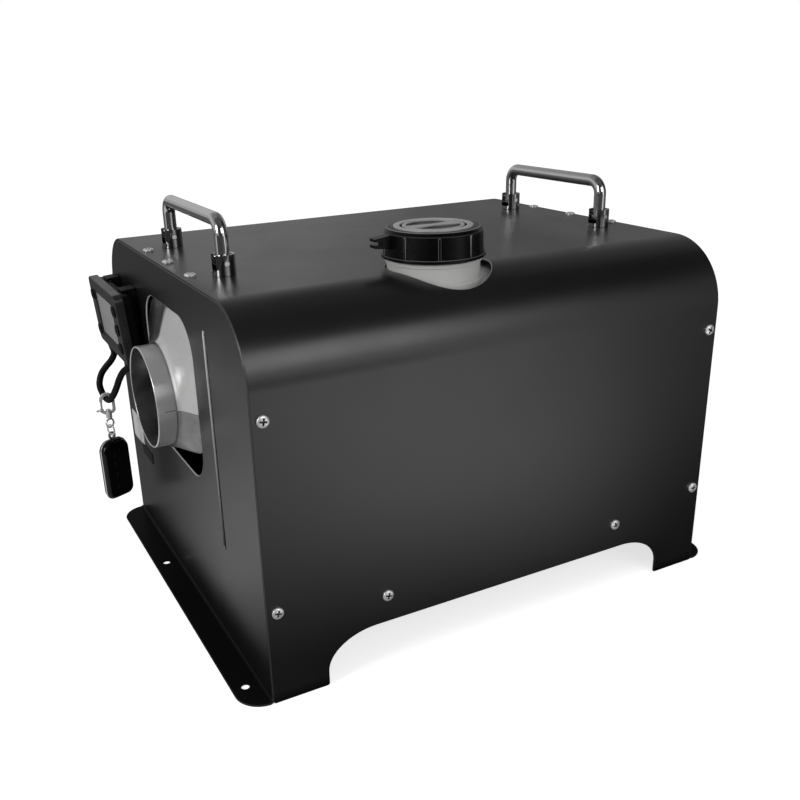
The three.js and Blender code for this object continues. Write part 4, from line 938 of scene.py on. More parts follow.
@dataclass
class CaseFrame:
    """The case's own frame in millimetres, and the sizes that several sub-assemblies share."""

    sheet: float = 1.5
    seat_gap: float = 0.3
    bend: float = 47.5
    foot_reach: float = 20.0
    casing_half_width: float = 57.9
    casing_height: float = 100.4
    duct_height: float = 166.2
    opening_size: float = 118.2
    opening_drop: float = 29.7
    place: Matrix = field(default_factory=Matrix)
    length: float = 0.0
    depth: float = 0.0
    height: float = 0.0

    def __post_init__(self) -> None:
        """Reads the case's place and overall sizes from the cover."""
        low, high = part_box("top_cover")
        self.length, self.depth, self.height = ((b - a) / MM for a, b in zip(low, high))
        self.place = Matrix.Translation((low.x, low.y, 0)) @ Matrix.Scale(MM, 4)

    @property
    def middle(self) -> float:
        """Half the case's depth."""
        return self.depth / 2

    @property
    def inner(self) -> float:
        """How far the end panels stand in from the cover's outside."""
        return self.sheet + self.seat_gap

    @property
    def casing_low(self) -> float:
        """Height of the burner casing's underside."""
        middle = self.height - self.opening_drop - self.opening_size / 2
        return middle + self.casing_half_width - self.casing_height

    @property
    def core_height(self) -> float:
        """Height of the burner's axis."""
        return self.casing_low + self.casing_height / 2


class Fold:
    """A sheet bent round the case's section: up the front, over the top and down the back."""

    def __init__(self, case: CaseFrame, inset: float, low: float, steps: int = 24) -> None:
        """Sets the section.

        Args:
            case: the case's frame.
            inset: how far the sheet's outside lies in from the cover's.
            low: height of the sheet's ends.
            steps: chords on each bend.
        """
        self.case, self.inset, self.low, self.steps = case, inset, low, steps
        self.radius = case.bend - inset
        self.rise = case.height - case.bend - low
        self.arc = self.radius * math.pi / 2
        self.top = case.depth - 2 * case.bend
        self.total = 2 * self.rise + 2 * self.arc + self.top

    def lines(self) -> list[float]:
        """Returns where the flat sheet needs an edge across it."""
        starts = [self.rise, self.rise + self.arc + self.top]
        return [s + self.arc * k / self.steps for s in starts for k in range(self.steps + 1)]

    def folded(self, point: Vector) -> Vector:
        """Takes a point of the flat sheet, whose outside is at height 0, to the case's frame."""
        case, x, along, t = self.case, point.x, point.y, -point.z
        turn = case.height - case.bend
        if along < self.rise:
            return Vector((x, self.inset + t, self.low + along))
        along -= self.rise
        if along < self.arc:
            a = along / self.radius
            r = self.radius - t
            return Vector((x, case.bend - r * math.cos(a), turn + r * math.sin(a)))
        along -= self.arc
        if along < self.top:
            return Vector((x, case.bend + along, case.height - self.inset - t))
        along -= self.top
        if along < self.arc:
            a = along / self.radius
            r = self.radius - t
            return Vector((x, case.depth - case.bend + r * math.sin(a), turn + r * math.cos(a)))
        return Vector((x, case.depth - self.inset - t, turn - (along - self.arc)))

    def along_top(self, y: float) -> float:
        """Returns the place on the flat sheet that lies over a depth, on the front bend or the top."""
        if y < self.case.bend:
            return self.rise + self.arc - self.radius * math.asin((self.case.bend - y) / self.radius)
        return self.rise + self.arc + y - self.case.bend


@dataclass
class SubAssembly:
    """A group of pieces, with the case's frame that they stand in and the workshop that finishes them."""

    case: CaseFrame
    shop: Workshop


@dataclass
class SheetCase(SubAssembly):
    """The folded cover, the two end panels with their feet, and what is screwed on to them."""

    leg_width: float = 40.7
    leg_side: float = 10.8
    cover_edge: float = 35.0
    arch_run: float = 36.5
    leg_corner: float = 2.0
    filler_x: float = 159.2
    filler_y: float = 54.4
    filler_radius: float = 35.8
    edge: float = 0.6
    arch_steps: int = 16
    hole_steps: int = 96
    panel_edge: float = 0.72
    foot_corner: float = 19.0
    foot_bend: float = 2.5
    foot_steps: int = 8
    rim_depth: float = 14.0
    rim_start: float = 0.02
    rim_edge: float = 0.3
    opening_corner: float = 27.0
    slit_y: float = 76.0
    slit_low: float = 78.4
    slit_drop: float = 27.6
    slit_width: float = 5.5
    grommet_y: float = 247.0
    grommet_z: float = 166.0
    grommet_hole: float = 5.25
    foot_hole: float = 2.75
    foot_hole_inset: float = 9.7
    foot_hole_front: float = 25.5
    foot_hole_pitch: float = 190.8
    vent_count: int = 9
    vent_width: float = 6.0
    vent_pitch: float = 12.5
    vent_length: float = 96.0
    screw_head: float = 4.0
    screw_rise: float = 2.3
    screw_wall: float = 0.45
    recess_long: float = 0.62
    recess_wide: float = 0.17
    recess_floor: float = 0.1
    recess_dark: float = 0.4
    side_screws: tuple = ((7.3, 197.1), (7.3, 67.6), (85.9, 55.7))
    top_screw_inset: float = 6.3
    top_screw_ys: tuple = (115.0, 167.5, 219.7)
    plates: tuple = (
        ("bare_plate_large", 307.0, 91.0, 34, 25, "label_metal"),
        ("bare_plate_small", 281.0, 75.0, 32, 10, "dark_plastic"),
    )
    plate_corner: float = 1.5
    plate_thick: float = 0.4
    plate_edge: float = 0.12
    plate_sunk: float = 0.02
    edge_wear: float = 0.03
    # Painted highlight rims, with some real edge wear, round the openings and the filler hole; and a painted
    # highlight on the slit's wall.
    opening_wear_and_highlight: float = 0.6
    slit_highlight: float = 1.0
    slit_low_share: float = 0.1

    def build(self) -> None:
        """Makes the sheet pieces and their fasteners."""
        self._cover()
        self._panel("left_end_panel", self._left_holes())
        self._panel("right_end_panel", self._right_holes())
        self._screws()
        self._plates()
        self.shop.refined("floor_tray", "powder_coat", 0.4)

    def _cover(self) -> None:
        """Folds the cover out of one blank with arched legs and the filler's hole."""
        case = self.case
        fold = Fold(case, 0, 0)

        def arch(x: float, toward: float, v: float, inward: float) -> Loop:
            """Returns a quarter of an arch, from the leg to the straight edge."""
            run, rise = toward * self.arch_run, self.cover_edge - self.leg_side
            return [
                Vector((x + run * (1 - math.cos(a)), v + inward * (self.leg_side + rise * math.sin(a))))
                for a in quarter_turn(self.arch_steps)
            ]

        left, right, end = self.leg_width, case.length - self.leg_width, case.length
        far, corner = fold.total, self.leg_corner
        legs = (
            ((0, far / 2), (0, 0), (left, 0), (left, self.leg_side)),
            ((right, self.leg_side), (right, 0), (end, 0), (end, far / 2)),
            ((end, far / 2), (end, far), (right, far), (right, far - self.leg_side)),
            ((left, far - self.leg_side), (left, far), (0, far), (0, far / 2)),
        )
        feet = [rounded_loop([a, (*b, corner), (*c, corner), d])[1:-1] for a, b, c, d in legs]
        outline = feet[0] + arch(left, 1, 0, 1) + arch(right, -1, 0, 1)[::-1] + feet[1]
        outline += feet[2] + arch(right, -1, far, -1) + arch(left, 1, far, -1)[::-1] + feet[3]
        ring = circle_loop(self.filler_x, self.filler_y, self.filler_radius, self.hole_steps)
        hole = [Vector((p.x, fold.along_top(p.y))) for p in reversed(ring)]
        # The filler hole's edge gets a painted highlight besides a little edge wear.
        wear_and_light = [self.edge_wear, self.opening_wear_and_highlight]
        solid = Solid.slab([outline, hole], -case.sheet, 0, self.edge, 3, fold.lines(), fold.folded, wear_and_light)
        self.shop.skin("top_cover", solid, case.place, "powder_coat")

    def _upright_at(self, z: float) -> float:
        """Returns the place on a panel's flat blank of a height on its upright part."""
        straight = self.case.foot_reach - self.foot_bend
        return straight + self.foot_bend * math.pi / 2 + z - self.case.sheet - self.foot_bend

    def _left_holes(self) -> list[Loop]:
        """Returns the outlet end's holes as (y, height) loops."""
        case, size = self.case, self.case.opening_size
        middle = case.height - case.opening_drop - size / 2
        top = case.height - self.slit_drop
        return [
            box_loop(case.middle, middle, size, size, self.opening_corner, 20),
            slot_loop(self.slit_y, (top + self.slit_low) / 2, self.slit_width, top - self.slit_low),
            circle_loop(self.grommet_y, self.grommet_z, self.grommet_hole),
        ]

    def _right_holes(self) -> list[Loop]:
        """Returns the intake end's row of upright vents, in the panel's own frame."""
        first = self.case.middle - (self.vent_count - 1) / 2 * self.vent_pitch
        return [
            slot_loop(first + i * self.vent_pitch, self.case.core_height, self.vent_width, self.vent_length)
            for i in range(self.vent_count)
        ]

    def _rim_share(self, point: Vector) -> float:
        """Returns the share of painted light kept at a point: nearly none at the slit's low end, so only the
        slit's upper half shows the painted highlight.
        """
        low = point.z < self.case.height / 2 and abs(point.y - self.slit_y) < self.slit_width
        return self.slit_low_share if low else 1.0

    def _panel(self, node: str, holes: list[Loop]) -> None:
        """Folds an end panel: the foot outwards, and the rim inwards round the top and sides.

        Args:
            node: the CAD node that it stands for.
            holes: the upright's holes as (y, height) loops.
        """
        case = self.case
        straight = case.foot_reach - self.foot_bend
        arc = self.foot_bend * math.pi / 2
        top = self._upright_at(case.height - case.inner)
        side, bend = case.inner, case.bend - case.inner
        outline = rounded_loop(
            [
                (0, 0, self.foot_corner),
                (case.depth, 0, self.foot_corner),
                (case.depth, case.foot_reach, self.edge),
                (case.depth - side, case.foot_reach, self.edge),
                (case.depth - side, top, bend),
                (side, top, bend),
                (side, case.foot_reach, self.edge),
                (0, case.foot_reach, self.edge),
            ],
            24,
        )

        def folded(point: Vector) -> Vector:
            """Takes a point of the blank, whose outside is at height 0, to the outlet end."""
            y, v, t = case.depth - point.x, point.y, -point.z
            rest = v - straight
            if rest < 0:
                return Vector((v - case.foot_reach, y, case.sheet - t))
            middle = case.sheet + self.foot_bend
            if rest < arc:
                a = rest / self.foot_bend
                r = self.foot_bend + t
                return Vector((r * math.sin(a) - self.foot_bend, y, middle - r * math.cos(a)))
            return Vector((t, y, middle + rest - arc))

        loops = [outline]
        for hole in holes:
            loops.append([Vector((case.depth - p.x, self._upright_at(p.y))) for p in hole])
        for y in (self.foot_hole_front, self.foot_hole_front + self.foot_hole_pitch):
            loops.append(circle_loop(case.depth - y, self.foot_hole_inset, self.foot_hole)[::-1])
        lines = [straight + arc * k / self.foot_steps for k in range(self.foot_steps + 1)]
        # The opening and the grommet hole get a painted highlight rim, and the slit a painted highlight on
        # its wall.
        wear_and_light = [self.edge_wear, self.opening_wear_and_highlight, self.slit_highlight, self.opening_wear_and_highlight]
        plate = Solid.slab(loops, -case.sheet, 0, self.panel_edge, 3, lines, folded, wear_and_light[: 1 + len(holes)])
        # The painted highlight is taken off the slit's low end.
        if node.startswith("left"):
            plate = plate.faded(self._rim_share)
        fold = Fold(case, case.inner, self.rim_depth)
        near, far = case.sheet + self.rim_start, self.rim_depth
        rim_loop = [Vector(p) for p in ((near, 0), (far, 0), (far, fold.total), (near, fold.total))]
        rim = Solid.slab([rim_loop], -case.sheet, 0, self.rim_edge, 2, fold.lines(), fold.folded)
        solid = plate.beside(rim)
        if node.startswith("right"):
            turn = Matrix.Translation((case.length, case.depth, 0)) @ Matrix.Rotation(math.pi, 4, "Z")
            solid.moved(turn)
        self.shop.skin(node, solid, case.place, "powder_coat")

    def _screw_head(self) -> Solid:
        """Makes a pan head with a cross recess, standing up along Z."""
        radius, rise, wall = self.screw_head, self.screw_rise, self.screw_wall
        dome = [
            (radius * math.cos(a), rise * (wall + (1 - wall) * math.sin(a))) for a in quarter_turn(8)[:-1]
        ]
        head = Solid.turned(Axis.Z, [(0, 0), (radius * 0.96, 0), *dome, (0, rise)], 32)
        long, wide, floor = radius * self.recess_long, radius * self.recess_wide, rise * self.recess_floor
        bars = [Solid.block((-x, -y, floor), (x, y, rise * 2)) for x, y in ((long, wide), (wide, long))]
        # The floor of the cross recess gets painted shade.
        dark, reach = rise * self.recess_dark, long * 1.1
        head = head.cut(*bars).softened(0.12, 1)
        return head.with_light_and_wear(lambda p: float(p.z < dark and math.hypot(p.x, p.y) < reach))

    def _screw_places(self) -> list[tuple[Vector, Vector]]:
        """Returns where each screw sits on the case and which way it faces."""
        case = self.case
        places = []
        for y, facing in ((0.0, -1), (case.depth, 1)):
            for inset, z in self.side_screws:
                for x in (inset, case.length - inset):
                    places.append((Vector((x, y, z)), Vector((0, facing, 0))))
        for x in (self.top_screw_inset, case.length - self.top_screw_inset):
            for y in self.top_screw_ys:
                places.append((Vector((x, y, case.height)), Vector((0, 0, 1))))
        return places

    def _screws(self) -> None:
        """Sets a screw head on each place with a Geometry Nodes tree."""
        points, facings = zip(*self._screw_places())
        points = [self.case.place @ point for point in points]
        head = self._screw_head().shaded(50)
        material = self.shop.material["zinc_steel"]
        mesh = PointSetter("screw_setter").run(head, points, facings, MM, material)
        self.shop.enter(put("case_screws", mesh), "zinc_steel", "case")

    def _plates(self) -> None:
        """Puts two plates on the outlet end, beside the duct: an unpainted metal one and a dark plastic one.
        """
        for name, y, z, width, height, finish in self.plates:
            outline = box_loop(y, z, width, height, self.plate_corner)
            plate = Solid.slab([outline], -self.plate_thick, 0, self.plate_edge, 2)
            plate = plate.moved(Axis.X.stand()).at(-self.plate_sunk)
            self.shop.piece(name, plate, self.case.place, finish)


class PointSetter:
    """A Geometry Nodes tree that sets one shape on points, each turned to its own direction."""

    INPUTS = {
        "Geometry": "Geometry", "Shape": "Object", "Size": "Float", "Seed": "Int", "Finish": "Material"
    }

    def __init__(self, name: str) -> None:
        """Builds the tree."""
        self.tree = bpy.data.node_groups.new(name, "GeometryNodeTree")
        sockets = self.tree.interface
        self.key = {
            label: sockets.new_socket(label, in_out="INPUT", socket_type=f"NodeSocket{kind}").identifier
            for label, kind in self.INPUTS.items()
        }
        sockets.new_socket("Geometry", in_out="OUTPUT", socket_type="NodeSocketGeometry")
        graph = Graph(self.tree)
        inside = graph.add("NodeGroupInput").outputs
        shape = graph.add("GeometryNodeObjectInfo", {"Object": inside["Shape"]}).outputs["Geometry"]
        facing = graph.add("GeometryNodeInputNamedAttribute", {"Name": "facing"}, data_type="FLOAT_VECTOR")
        upright = graph.add("FunctionNodeAlignRotationToVector", {"Vector": facing.outputs[0]}, axis="Z")
        turns = {2: 0.0, 3: math.pi / 2, "Seed": inside["Seed"]}
        spin = graph.add("FunctionNodeRandomValue", turns, data_type="FLOAT").outputs[1]
        own = graph.add("ShaderNodeCombineXYZ", {"Z": spin}).outputs[0]
        own_turn = graph.add("FunctionNodeEulerToRotation", {"Euler": own}).outputs[0]
        both = {"Rotation": upright.outputs[0], "Rotate By": own_turn}
        turned = graph.add("FunctionNodeRotateRotation", both, rotation_space="LOCAL").outputs[0]
        copies = {"Points": inside["Geometry"], "Instance": shape, "Rotation": turned}
        copies["Scale"] = inside["Size"]
        points = graph.add("GeometryNodeInstanceOnPoints", copies).outputs[0]
        whole = graph.add("GeometryNodeRealizeInstances", {"Geometry": points}).outputs[0]
        finish = {"Geometry": whole, "Material": inside["Finish"]}
        dressed = graph.add("GeometryNodeSetMaterial", finish).outputs[0]
        graph.add("NodeGroupOutput", {"Geometry": dressed})

    def run(
        self,
        shape: Solid,
        points: Sequence[Vector],
        facings: Sequence[Vector],
        size: float,
        material: bpy.types.Material,
        seed: int = 3,
    ) -> bpy.types.Mesh:
        """Sets the shape on points.

        Args:
            shape: what is set, standing along Z.
            points: where each copy goes.
            facings: which way each copy's Z goes.
            size: scale of each copy.
            material: the copies' material.
            seed: fixes each copy's turn about its own axis.

        Returns:
            A plain mesh that holds every copy.
        """
        cloud = bpy.data.meshes.new("points")
        cloud.from_pydata([tuple(p) for p in points], [], [])
        attribute = cloud.attributes.new("facing", "FLOAT_VECTOR", "POINT")
        for item, value in zip(attribute.data, facings):
            item.vector = value
        holder, model = put("holder", cloud), put("model", shape.mesh)
        modifier = holder.modifiers.new("set", "NODES")
        modifier.node_group = self.tree
        for label, value in (("Shape", model), ("Size", size), ("Seed", seed), ("Finish", material)):
            modifier[self.key[label]] = value
        made = evaluated_mesh(holder)
        bpy.data.objects.remove(holder)
        bpy.data.objects.remove(model)
        return made


@dataclass
class FuelSystem(SubAssembly):
    """The tank whose neck stands through the cover, its screw cap, and the pump with its hoses."""

    neck_x: float = 155.6
    neck_y: float = 54.4
    cap_above_case: float = 7.1
    cap_height: float = 20.0
    flange_radius: float = 35.0
    flange_thick: float = 2.2
    body_radius: float = 33.6
    taper: float = 0.7
    top_radius: float = 31.0
    chamfer: float = 3.4
    shelf: float = 0.9
    ring_radius: float = 26.6
    ring_width: float = 4.2
    groove: float = 1.8
    face_gap: float = 0.05
    disc_radius: float = 20.8
    disc_drop: float = 0.2
    moon_inset_share: float = 0.6
    moon_floor_share: float = 0.2
    moon_dark_below: float = 0.35
    grip_width: float = 12.8
    grip_waist: float = 5.2
    bore_radius: float = 32.6
    bore_height: float = 14.1
    rib_count: int = 9
    rib_turn_deg: float = 6.0
    rib_width: float = 1.8
    rib_rise: float = 0.8
    rib_root: float = 0.5
    rib_drop: float = 0.4
    # How strongly the ribs' edges are painted pale as a highlight.
    rib_highlight: float = 0.5
    lug_reach: float = 12.0
    lug_width: float = 7.0
    prong: float = 2.0
    lug_rise: float = 9.0
    lug_flare: float = 1.5
    lug_corner: float = 0.5
    # How strongly each of the cap's rims is painted pale as a highlight, and how far that reaches.
    flange_rim: float = 0.5
    side_rim: float = 0.12
    chamfer_rim: float = 0.9
    groove_rim: float = 0.6
    rim_reach: float = 0.2
    steps: int = 96

    def build(self) -> None:
        """Makes the tank, the cap and the fuel line."""
        self.shop.refined("fuel_tank", "tank_plastic", 0.5, 2, 40)
        self._cap()
        self.shop.dress(["cap_seal", "pump_clamp"], "black_rubber")
        self.shop.dress(["tank_outlet", "fuel_pump"], "zinc_steel")
        self.shop.dress(["pump_hose_in", "pump_hose_out"], "fuel_hose")
        self.shop.dress(["control_module"], "cast_alloy")

    def _cap(self) -> None:
        """Turns the cap, with ribs round its side, a split lug, and a ring and a waisted grip on its top."""
        low = self.case.height + self.cap_above_case
        top = low + self.cap_height
        inside = low + self.bore_height
        profile = [
            (0, inside),
            (self.bore_radius, inside),
            (self.bore_radius, low),
            (self.flange_radius, low),
            (self.flange_radius, low + self.flange_thick),
            (self.body_radius, low + self.flange_thick),
            (self.body_radius - self.taper, top - self.chamfer),
            (self.top_radius, top - self.shelf),
            (self.ring_radius + self.shelf, top - self.shelf),
            (self.ring_radius + self.shelf / 2, top - self.groove),
            (0, top - self.groove),
        ]
        cap = Solid.turned(Axis.Z, held(profile), self.steps)
        first, root = low + self.lug_rise, -self.bore_radius - 0.2
        prong, flare, corner = self.prong, self.lug_flare, self.lug_corner
        side, tip = -self.body_radius, -self.body_radius - self.lug_reach
        split = tip + self.lug_reach / 2
        lug_outline = rounded_loop(
            [
                (tip, first, corner),
                (side, first - flare, 1.0),
                (root, first - flare),
                (root, first + 3 * prong + flare),
                (side, first + 3 * prong + flare, 1.0),
                (tip, first + 3 * prong, corner),
                (tip, first + 2 * prong, corner),
                (split, first + 2 * prong, corner),
                (split, first + prong, corner),
                (tip, first + prong, corner),
            ],
            3,
        )
        half = self.lug_width / 2
        lug = Solid.slab([lug_outline], -half, half).moved(Axis.Y.stand())
        cap = cap.joined(lug).softened(0.3, 2, 25)
        matrix = Matrix.Translation((self.neck_x, self.neck_y, 0))
        shelf = top - self.shelf
        rims = (
            (low + self.flange_thick, self.flange_radius, self.flange_rim),
            (top - self.chamfer, self.body_radius - self.taper, self.side_rim),
            (shelf, self.top_radius, self.chamfer_rim),
            (shelf, self.ring_radius + self.shelf, self.groove_rim),
        )

        def rim(point: Vector) -> float:
            """Returns the painted highlight on the cap's rims at a point."""
            out = math.hypot(point.x, point.y)
            reached = (s for high, r, s in rims if math.hypot(point.z - high, out - r) < self.rim_reach)
            return max(reached, default=0.0)

        # The rims and the ribs get painted highlights.
        solid = cap.with_light_and_wear(rim).beside(self._ribs(low, top)).moved(matrix)
        self.shop.skin("filler_cap", solid, self.case.place, "cap_plastic", 30)
        # The cap's top face is a piece of its own, with the painted sheen.
        face, body = self._face(top).moved(matrix), "filler_cap"
        self.shop.piece("filler_cap_face", face, self.case.place, "cap_painted_sheen", body, crease_deg=30)

    def _face(self, top: float) -> Solid:
        """Makes the face in the cap's top: a ring round a disc with a waisted grip across it. Its light grey
        is a painted sheen on the black cap, with real scuffs, and below a height it gets painted shade.
        """
        floor, high = top - self.groove - self.face_gap, top - self.disc_drop
        outer, inner = self.ring_radius, self.ring_radius - self.ring_width
        circles = [circle_loop(0, 0, outer, self.steps), circle_loop(0, 0, inner, self.steps)[::-1]]
        ring = Solid.slab(circles, floor, top, 0.5)
        disc = Solid.slab([circle_loop(0, 0, self.disc_radius, self.steps)], floor, high, 0.4)
        low = floor + (high - floor) * self.moon_floor_share
        reach = self.disc_radius - self.ring_width * self.moon_inset_share
        moons = Solid.slab([circle_loop(0, 0, reach, 64)], low, top + 1)
        moons = moons.cut(Solid.slab([self._grip_loop()], floor - 1, top + 2))
        # Everything below this height gets painted shade.
        dark = high - self.moon_dark_below
        return ring.beside(disc.cut(moons).softened(0.25, 2, 40)).with_light_and_wear(lambda p: float(p.z < dark))

    def _grip_loop(self) -> Loop:
        """Returns a waisted bar across the cap's top, for the fingers."""
        long, wide, waist = self.disc_radius + 1, self.grip_width / 2, self.grip_waist / 2
        lower = [(-long, -wide, 1.5), (0, -waist, 8), (long, -wide, 1.5)]
        return rounded_loop([*lower, *((x, -y, r) for x, y, r in reversed(lower))], 6)

    def _ribs(self, low: float, top: float) -> Solid:
        """Sets the ribs round the cap's side with the same tree as the screws."""
        height = top - self.chamfer - low - self.flange_thick
        outline = slot_loop(0, 0, self.rib_width, height, 6)
        # The ribs' edges get a painted highlight.
        rib = Solid.slab([outline], -self.rib_root, self.rib_rise, 0.3, 2, wear_and_light=[self.rib_highlight])
        middle = low + self.flange_thick + height / 2 - self.rib_drop
        first = math.radians(self.rib_turn_deg)
        turns = [first + 2 * math.pi * i / self.rib_count for i in range(self.rib_count)]
        radius = self.body_radius - self.taper / 2
        points = [Vector((radius * math.cos(a), radius * math.sin(a), middle)) for a in turns]
        facings = [Vector((math.cos(a), math.sin(a), 0)) for a in turns]
        material = self.shop.material["cap_plastic"]
        return Solid(RingSetter("rib_setter").run(rib, points, facings, 1.0, material))


class RingSetter(PointSetter):
    """A point setter whose copies keep one side up, as ribs round a cap do."""

    def __init__(self, name: str) -> None:
        """Builds the tree, with the copies' own turn taken out and their Y axis kept along Z."""
        super().__init__(name)
        nodes, links = self.tree.nodes, self.tree.links
        kinds = {node.bl_idname: node for node in nodes}
        upright = kinds["FunctionNodeAlignRotationToVector"]
        second = nodes.new("FunctionNodeAlignRotationToVector")
        second.axis = "Y"
        second.pivot_axis = "Z"
        second.inputs["Vector"].default_value = (0, 0, 1)
        links.new(upright.outputs[0], second.inputs["Rotation"])
        links.new(second.outputs[0], kinds["GeometryNodeInstanceOnPoints"].inputs["Rotation"])


@dataclass
class Burner(SubAssembly):
    """The heater inside the case: its split casing with the square-to-round hood, duct and core."""

    duct_radius: float = 37.5
    duct_wall: float = 1.5
    duct_reach: float = 22.4
    duct_end: float = -7.2
    hood_reach: float = 9.4
    hood_base: float = 3.0
    hood_lip: float = 1.6
    wall: float = 2.5
    mouth_gap: float = 0.7
    corner: float = 25.0
    casing_right: float = 344.6
    parting_drop: float = 0.6
    parting_gap: float = 0.3
    hood_stations: int = 14
    square_share: tuple = ((0, 0), (0.25, 0.12), (0.5, 0.42), (0.78, 0.78), (1, 1))
    side_chords: int = 4
    corner_chords: int = 24
    # Where and how strongly the hood gets painted shade.
    shade_low: float = 0.62
    shade_depth: float = 40.0
    shade_mouth: float = 0.8
    shade_mouth_share: float = 0.9
    shade_blend: float = 3.0
    seam_width: float = 0.7
    seam_height: float = 0.6
    seam_start: float = 5.0

    def build(self) -> None:
        """Makes the casing, the duct and what the casing holds."""
        self._casing()
        self._duct()
        refined, dress = self.shop.refined, self.shop.dress
        refined("intake_grille", "dark_plastic", 0.35)
        refined("exhaust_pipe", "zinc_steel", 0.25)
        refined("combustion_intake_pipe", "zinc_steel", 0.25)
        refined("circulation_fan", "dark_plastic", 0.3)
        dress(["heat_exchanger"], "cast_alloy")
        dress(["blower_motor", "motor_shaft", "heater_stand"], "zinc_steel")
        dress(["combustion_fan"], "dark_plastic")
        dress(["base_gasket"], "black_rubber")

    def _share(self, along: float) -> float:
        """Returns how square the hood is at a share of its run, on a smooth line through its stations."""
        line = smooth_route([(a, b, 0) for a, b in self.square_share], 8)
        for first, second in zip(line, line[1:]):
            if first.x <= along <= second.x:
                rest = (along - first.x) / max(second.x - first.x, 1e-9)
                return first.y + (second.y - first.y) * rest
        return 1.0

    def _ring(self, x: float, share: float, grow: float, circle: float) -> list[Vector]:
        """Returns one ring of the hood, from a circle at share 0 to a rounded square at share 1."""
        case = self.case
        reach_y, reach_z = case.casing_half_width + grow, case.casing_height / 2 + grow
        corner = self.corner + grow
        flat, bend = self.side_chords, self.corner_chords
        quarter = 2 * flat + bend
        ring = []
        for q in range(4):
            reach, across = (reach_y, reach_z) if q % 2 == 0 else (reach_z, reach_y)
            for i in range(quarter):
                angle = math.pi / 2 * i / quarter
                turn = math.pi / 2 * max(0.0, min(1.0, (i - flat) / bend))
                before = min(i / flat, 1)
                after = max((i - flat - bend) / flat, 0)
                square = (
                    (reach - corner) * (1 - after) + corner * math.cos(turn),
                    (across - corner) * before + corner * math.sin(turn),
                )
                spin = math.pi / 2 * q
                disc = spun(circle * math.cos(angle), circle * math.sin(angle), spin)
                box = spun(*square, spin)
                y = disc[0] + (box[0] - disc[0]) * share
                low, high = case.duct_height + disc[1], case.core_height + box[1]
                ring.append(Vector((x, case.middle + y, low + (high - low) * share)))
        return ring

    def _casing(self) -> None:
        """Lofts the casing's wall and parts it into an upper and a lower shell."""
        case = self.case
        neck = self.duct_radius + case.seat_gap
        run = self.hood_reach + self.hood_base
        stations = [k / self.hood_stations for k in range(self.hood_stations + 1)]
        start, right = -self.hood_reach, self.casing_right
        outer = [self._ring(start + run * s, self._share(s), 0, neck + self.hood_lip) for s in stations]
        outer.append(self._ring(right, 1, 0, neck))
        lip = start + self.hood_lip
        inner = [
            *[self._ring(start + b, 0, -self.wall, neck + self.mouth_gap) for b in (0, self.hood_lip * 0.8)],
            *[self._ring(lip + run * s, self._share(s), -self.wall, neck) for s in stations],
            self._ring(right, 1, -self.wall, neck),
        ]
        shell = Solid.loft([*outer, *reversed(inner)], closed=True)
        parting, half_gap = case.duct_height - self.parting_drop, self.parting_gap / 2
        halves = {
            "heater_upper_shell": (parting + half_gap, case.height),
            "heater_lower_shell": (parting - half_gap - case.height, parting - half_gap),
        }
        for node, (low, high) in halves.items():
            half = shell.kept(Solid.block((-case.length, 0, low), (case.length, case.depth, high)))
            # Each half gets painted shade: top rear, lower front and round the mouth.
            half = half.softened(0.5, 2, 40).with_light_and_wear(self._painted_shade)
            self.shop.skin(node, half, case.place, "cast_hood")

    def _painted_shade(self, point: Vector) -> float:
        """Returns how much painted shade the hood gets at a point: most above the duct's rear half and round
        its mouth beside the duct, and some on the lower front half.
        """
        if point.x > self.shade_depth:
            return 0.0
        if point.x < self.shade_mouth - self.hood_reach:
            return self.shade_mouth_share
        rear = min(1.0, max(0.0, (point.y - self.case.middle) / self.shade_blend))
        high = point.z > self.case.duct_height - self.parting_drop
        return rear if high else (1 - rear) * self.shade_low

    def _duct(self) -> None:
        """Turns the duct, with a rolled mouth and a seam along each side."""
        case = self.case
        outside, inside = self.duct_radius, self.duct_radius - self.duct_wall
        mouth, half = -self.duct_reach, self.duct_wall / 2
        lip = [
            (inside + half - half * math.cos(a), mouth + half - half * math.sin(a))
            for a in (math.pi * k / 10 for k in range(11))
        ]
        profile = [(inside, self.duct_end), *lip, (outside, self.duct_end)]
        pipe = Solid.turned(Axis.X, profile, 128).at(0, case.middle, case.duct_height)
        seam_z, wide, high = case.duct_height - self.parting_drop, self.seam_width / 2, self.seam_height / 2
        start, end = mouth + self.seam_start, self.duct_end + 1
        grooves = []
        for side in (-1, 1):
            y = case.middle + side * math.sqrt(outside**2 - self.parting_drop**2)
            grooves.append(Solid.block((start, y - wide, seam_z - high), (end, y + wide, seam_z + high)))
        # Inside this radius the duct gets painted shade.
        shade_radius = outside - self.duct_wall * 0.8

        def duct_shade(point: Vector) -> float:
            """Returns the duct's painted shade at a point: full inside it and in its seams."""
            out = math.hypot(point.y - case.middle, point.z - case.duct_height)
            in_seam = out < outside - high / 2 and abs(point.z - seam_z) < high * 1.5
            return float(out < shade_radius or in_seam)

        self.shop.skin("outlet_duct", pipe.cut(*grooves).with_light_and_wear(duct_shade), case.place, "duct_metal")


class End(Enum):
    """The end of the case that a handle stands at."""

    LEFT = "left"
    RIGHT = "right"


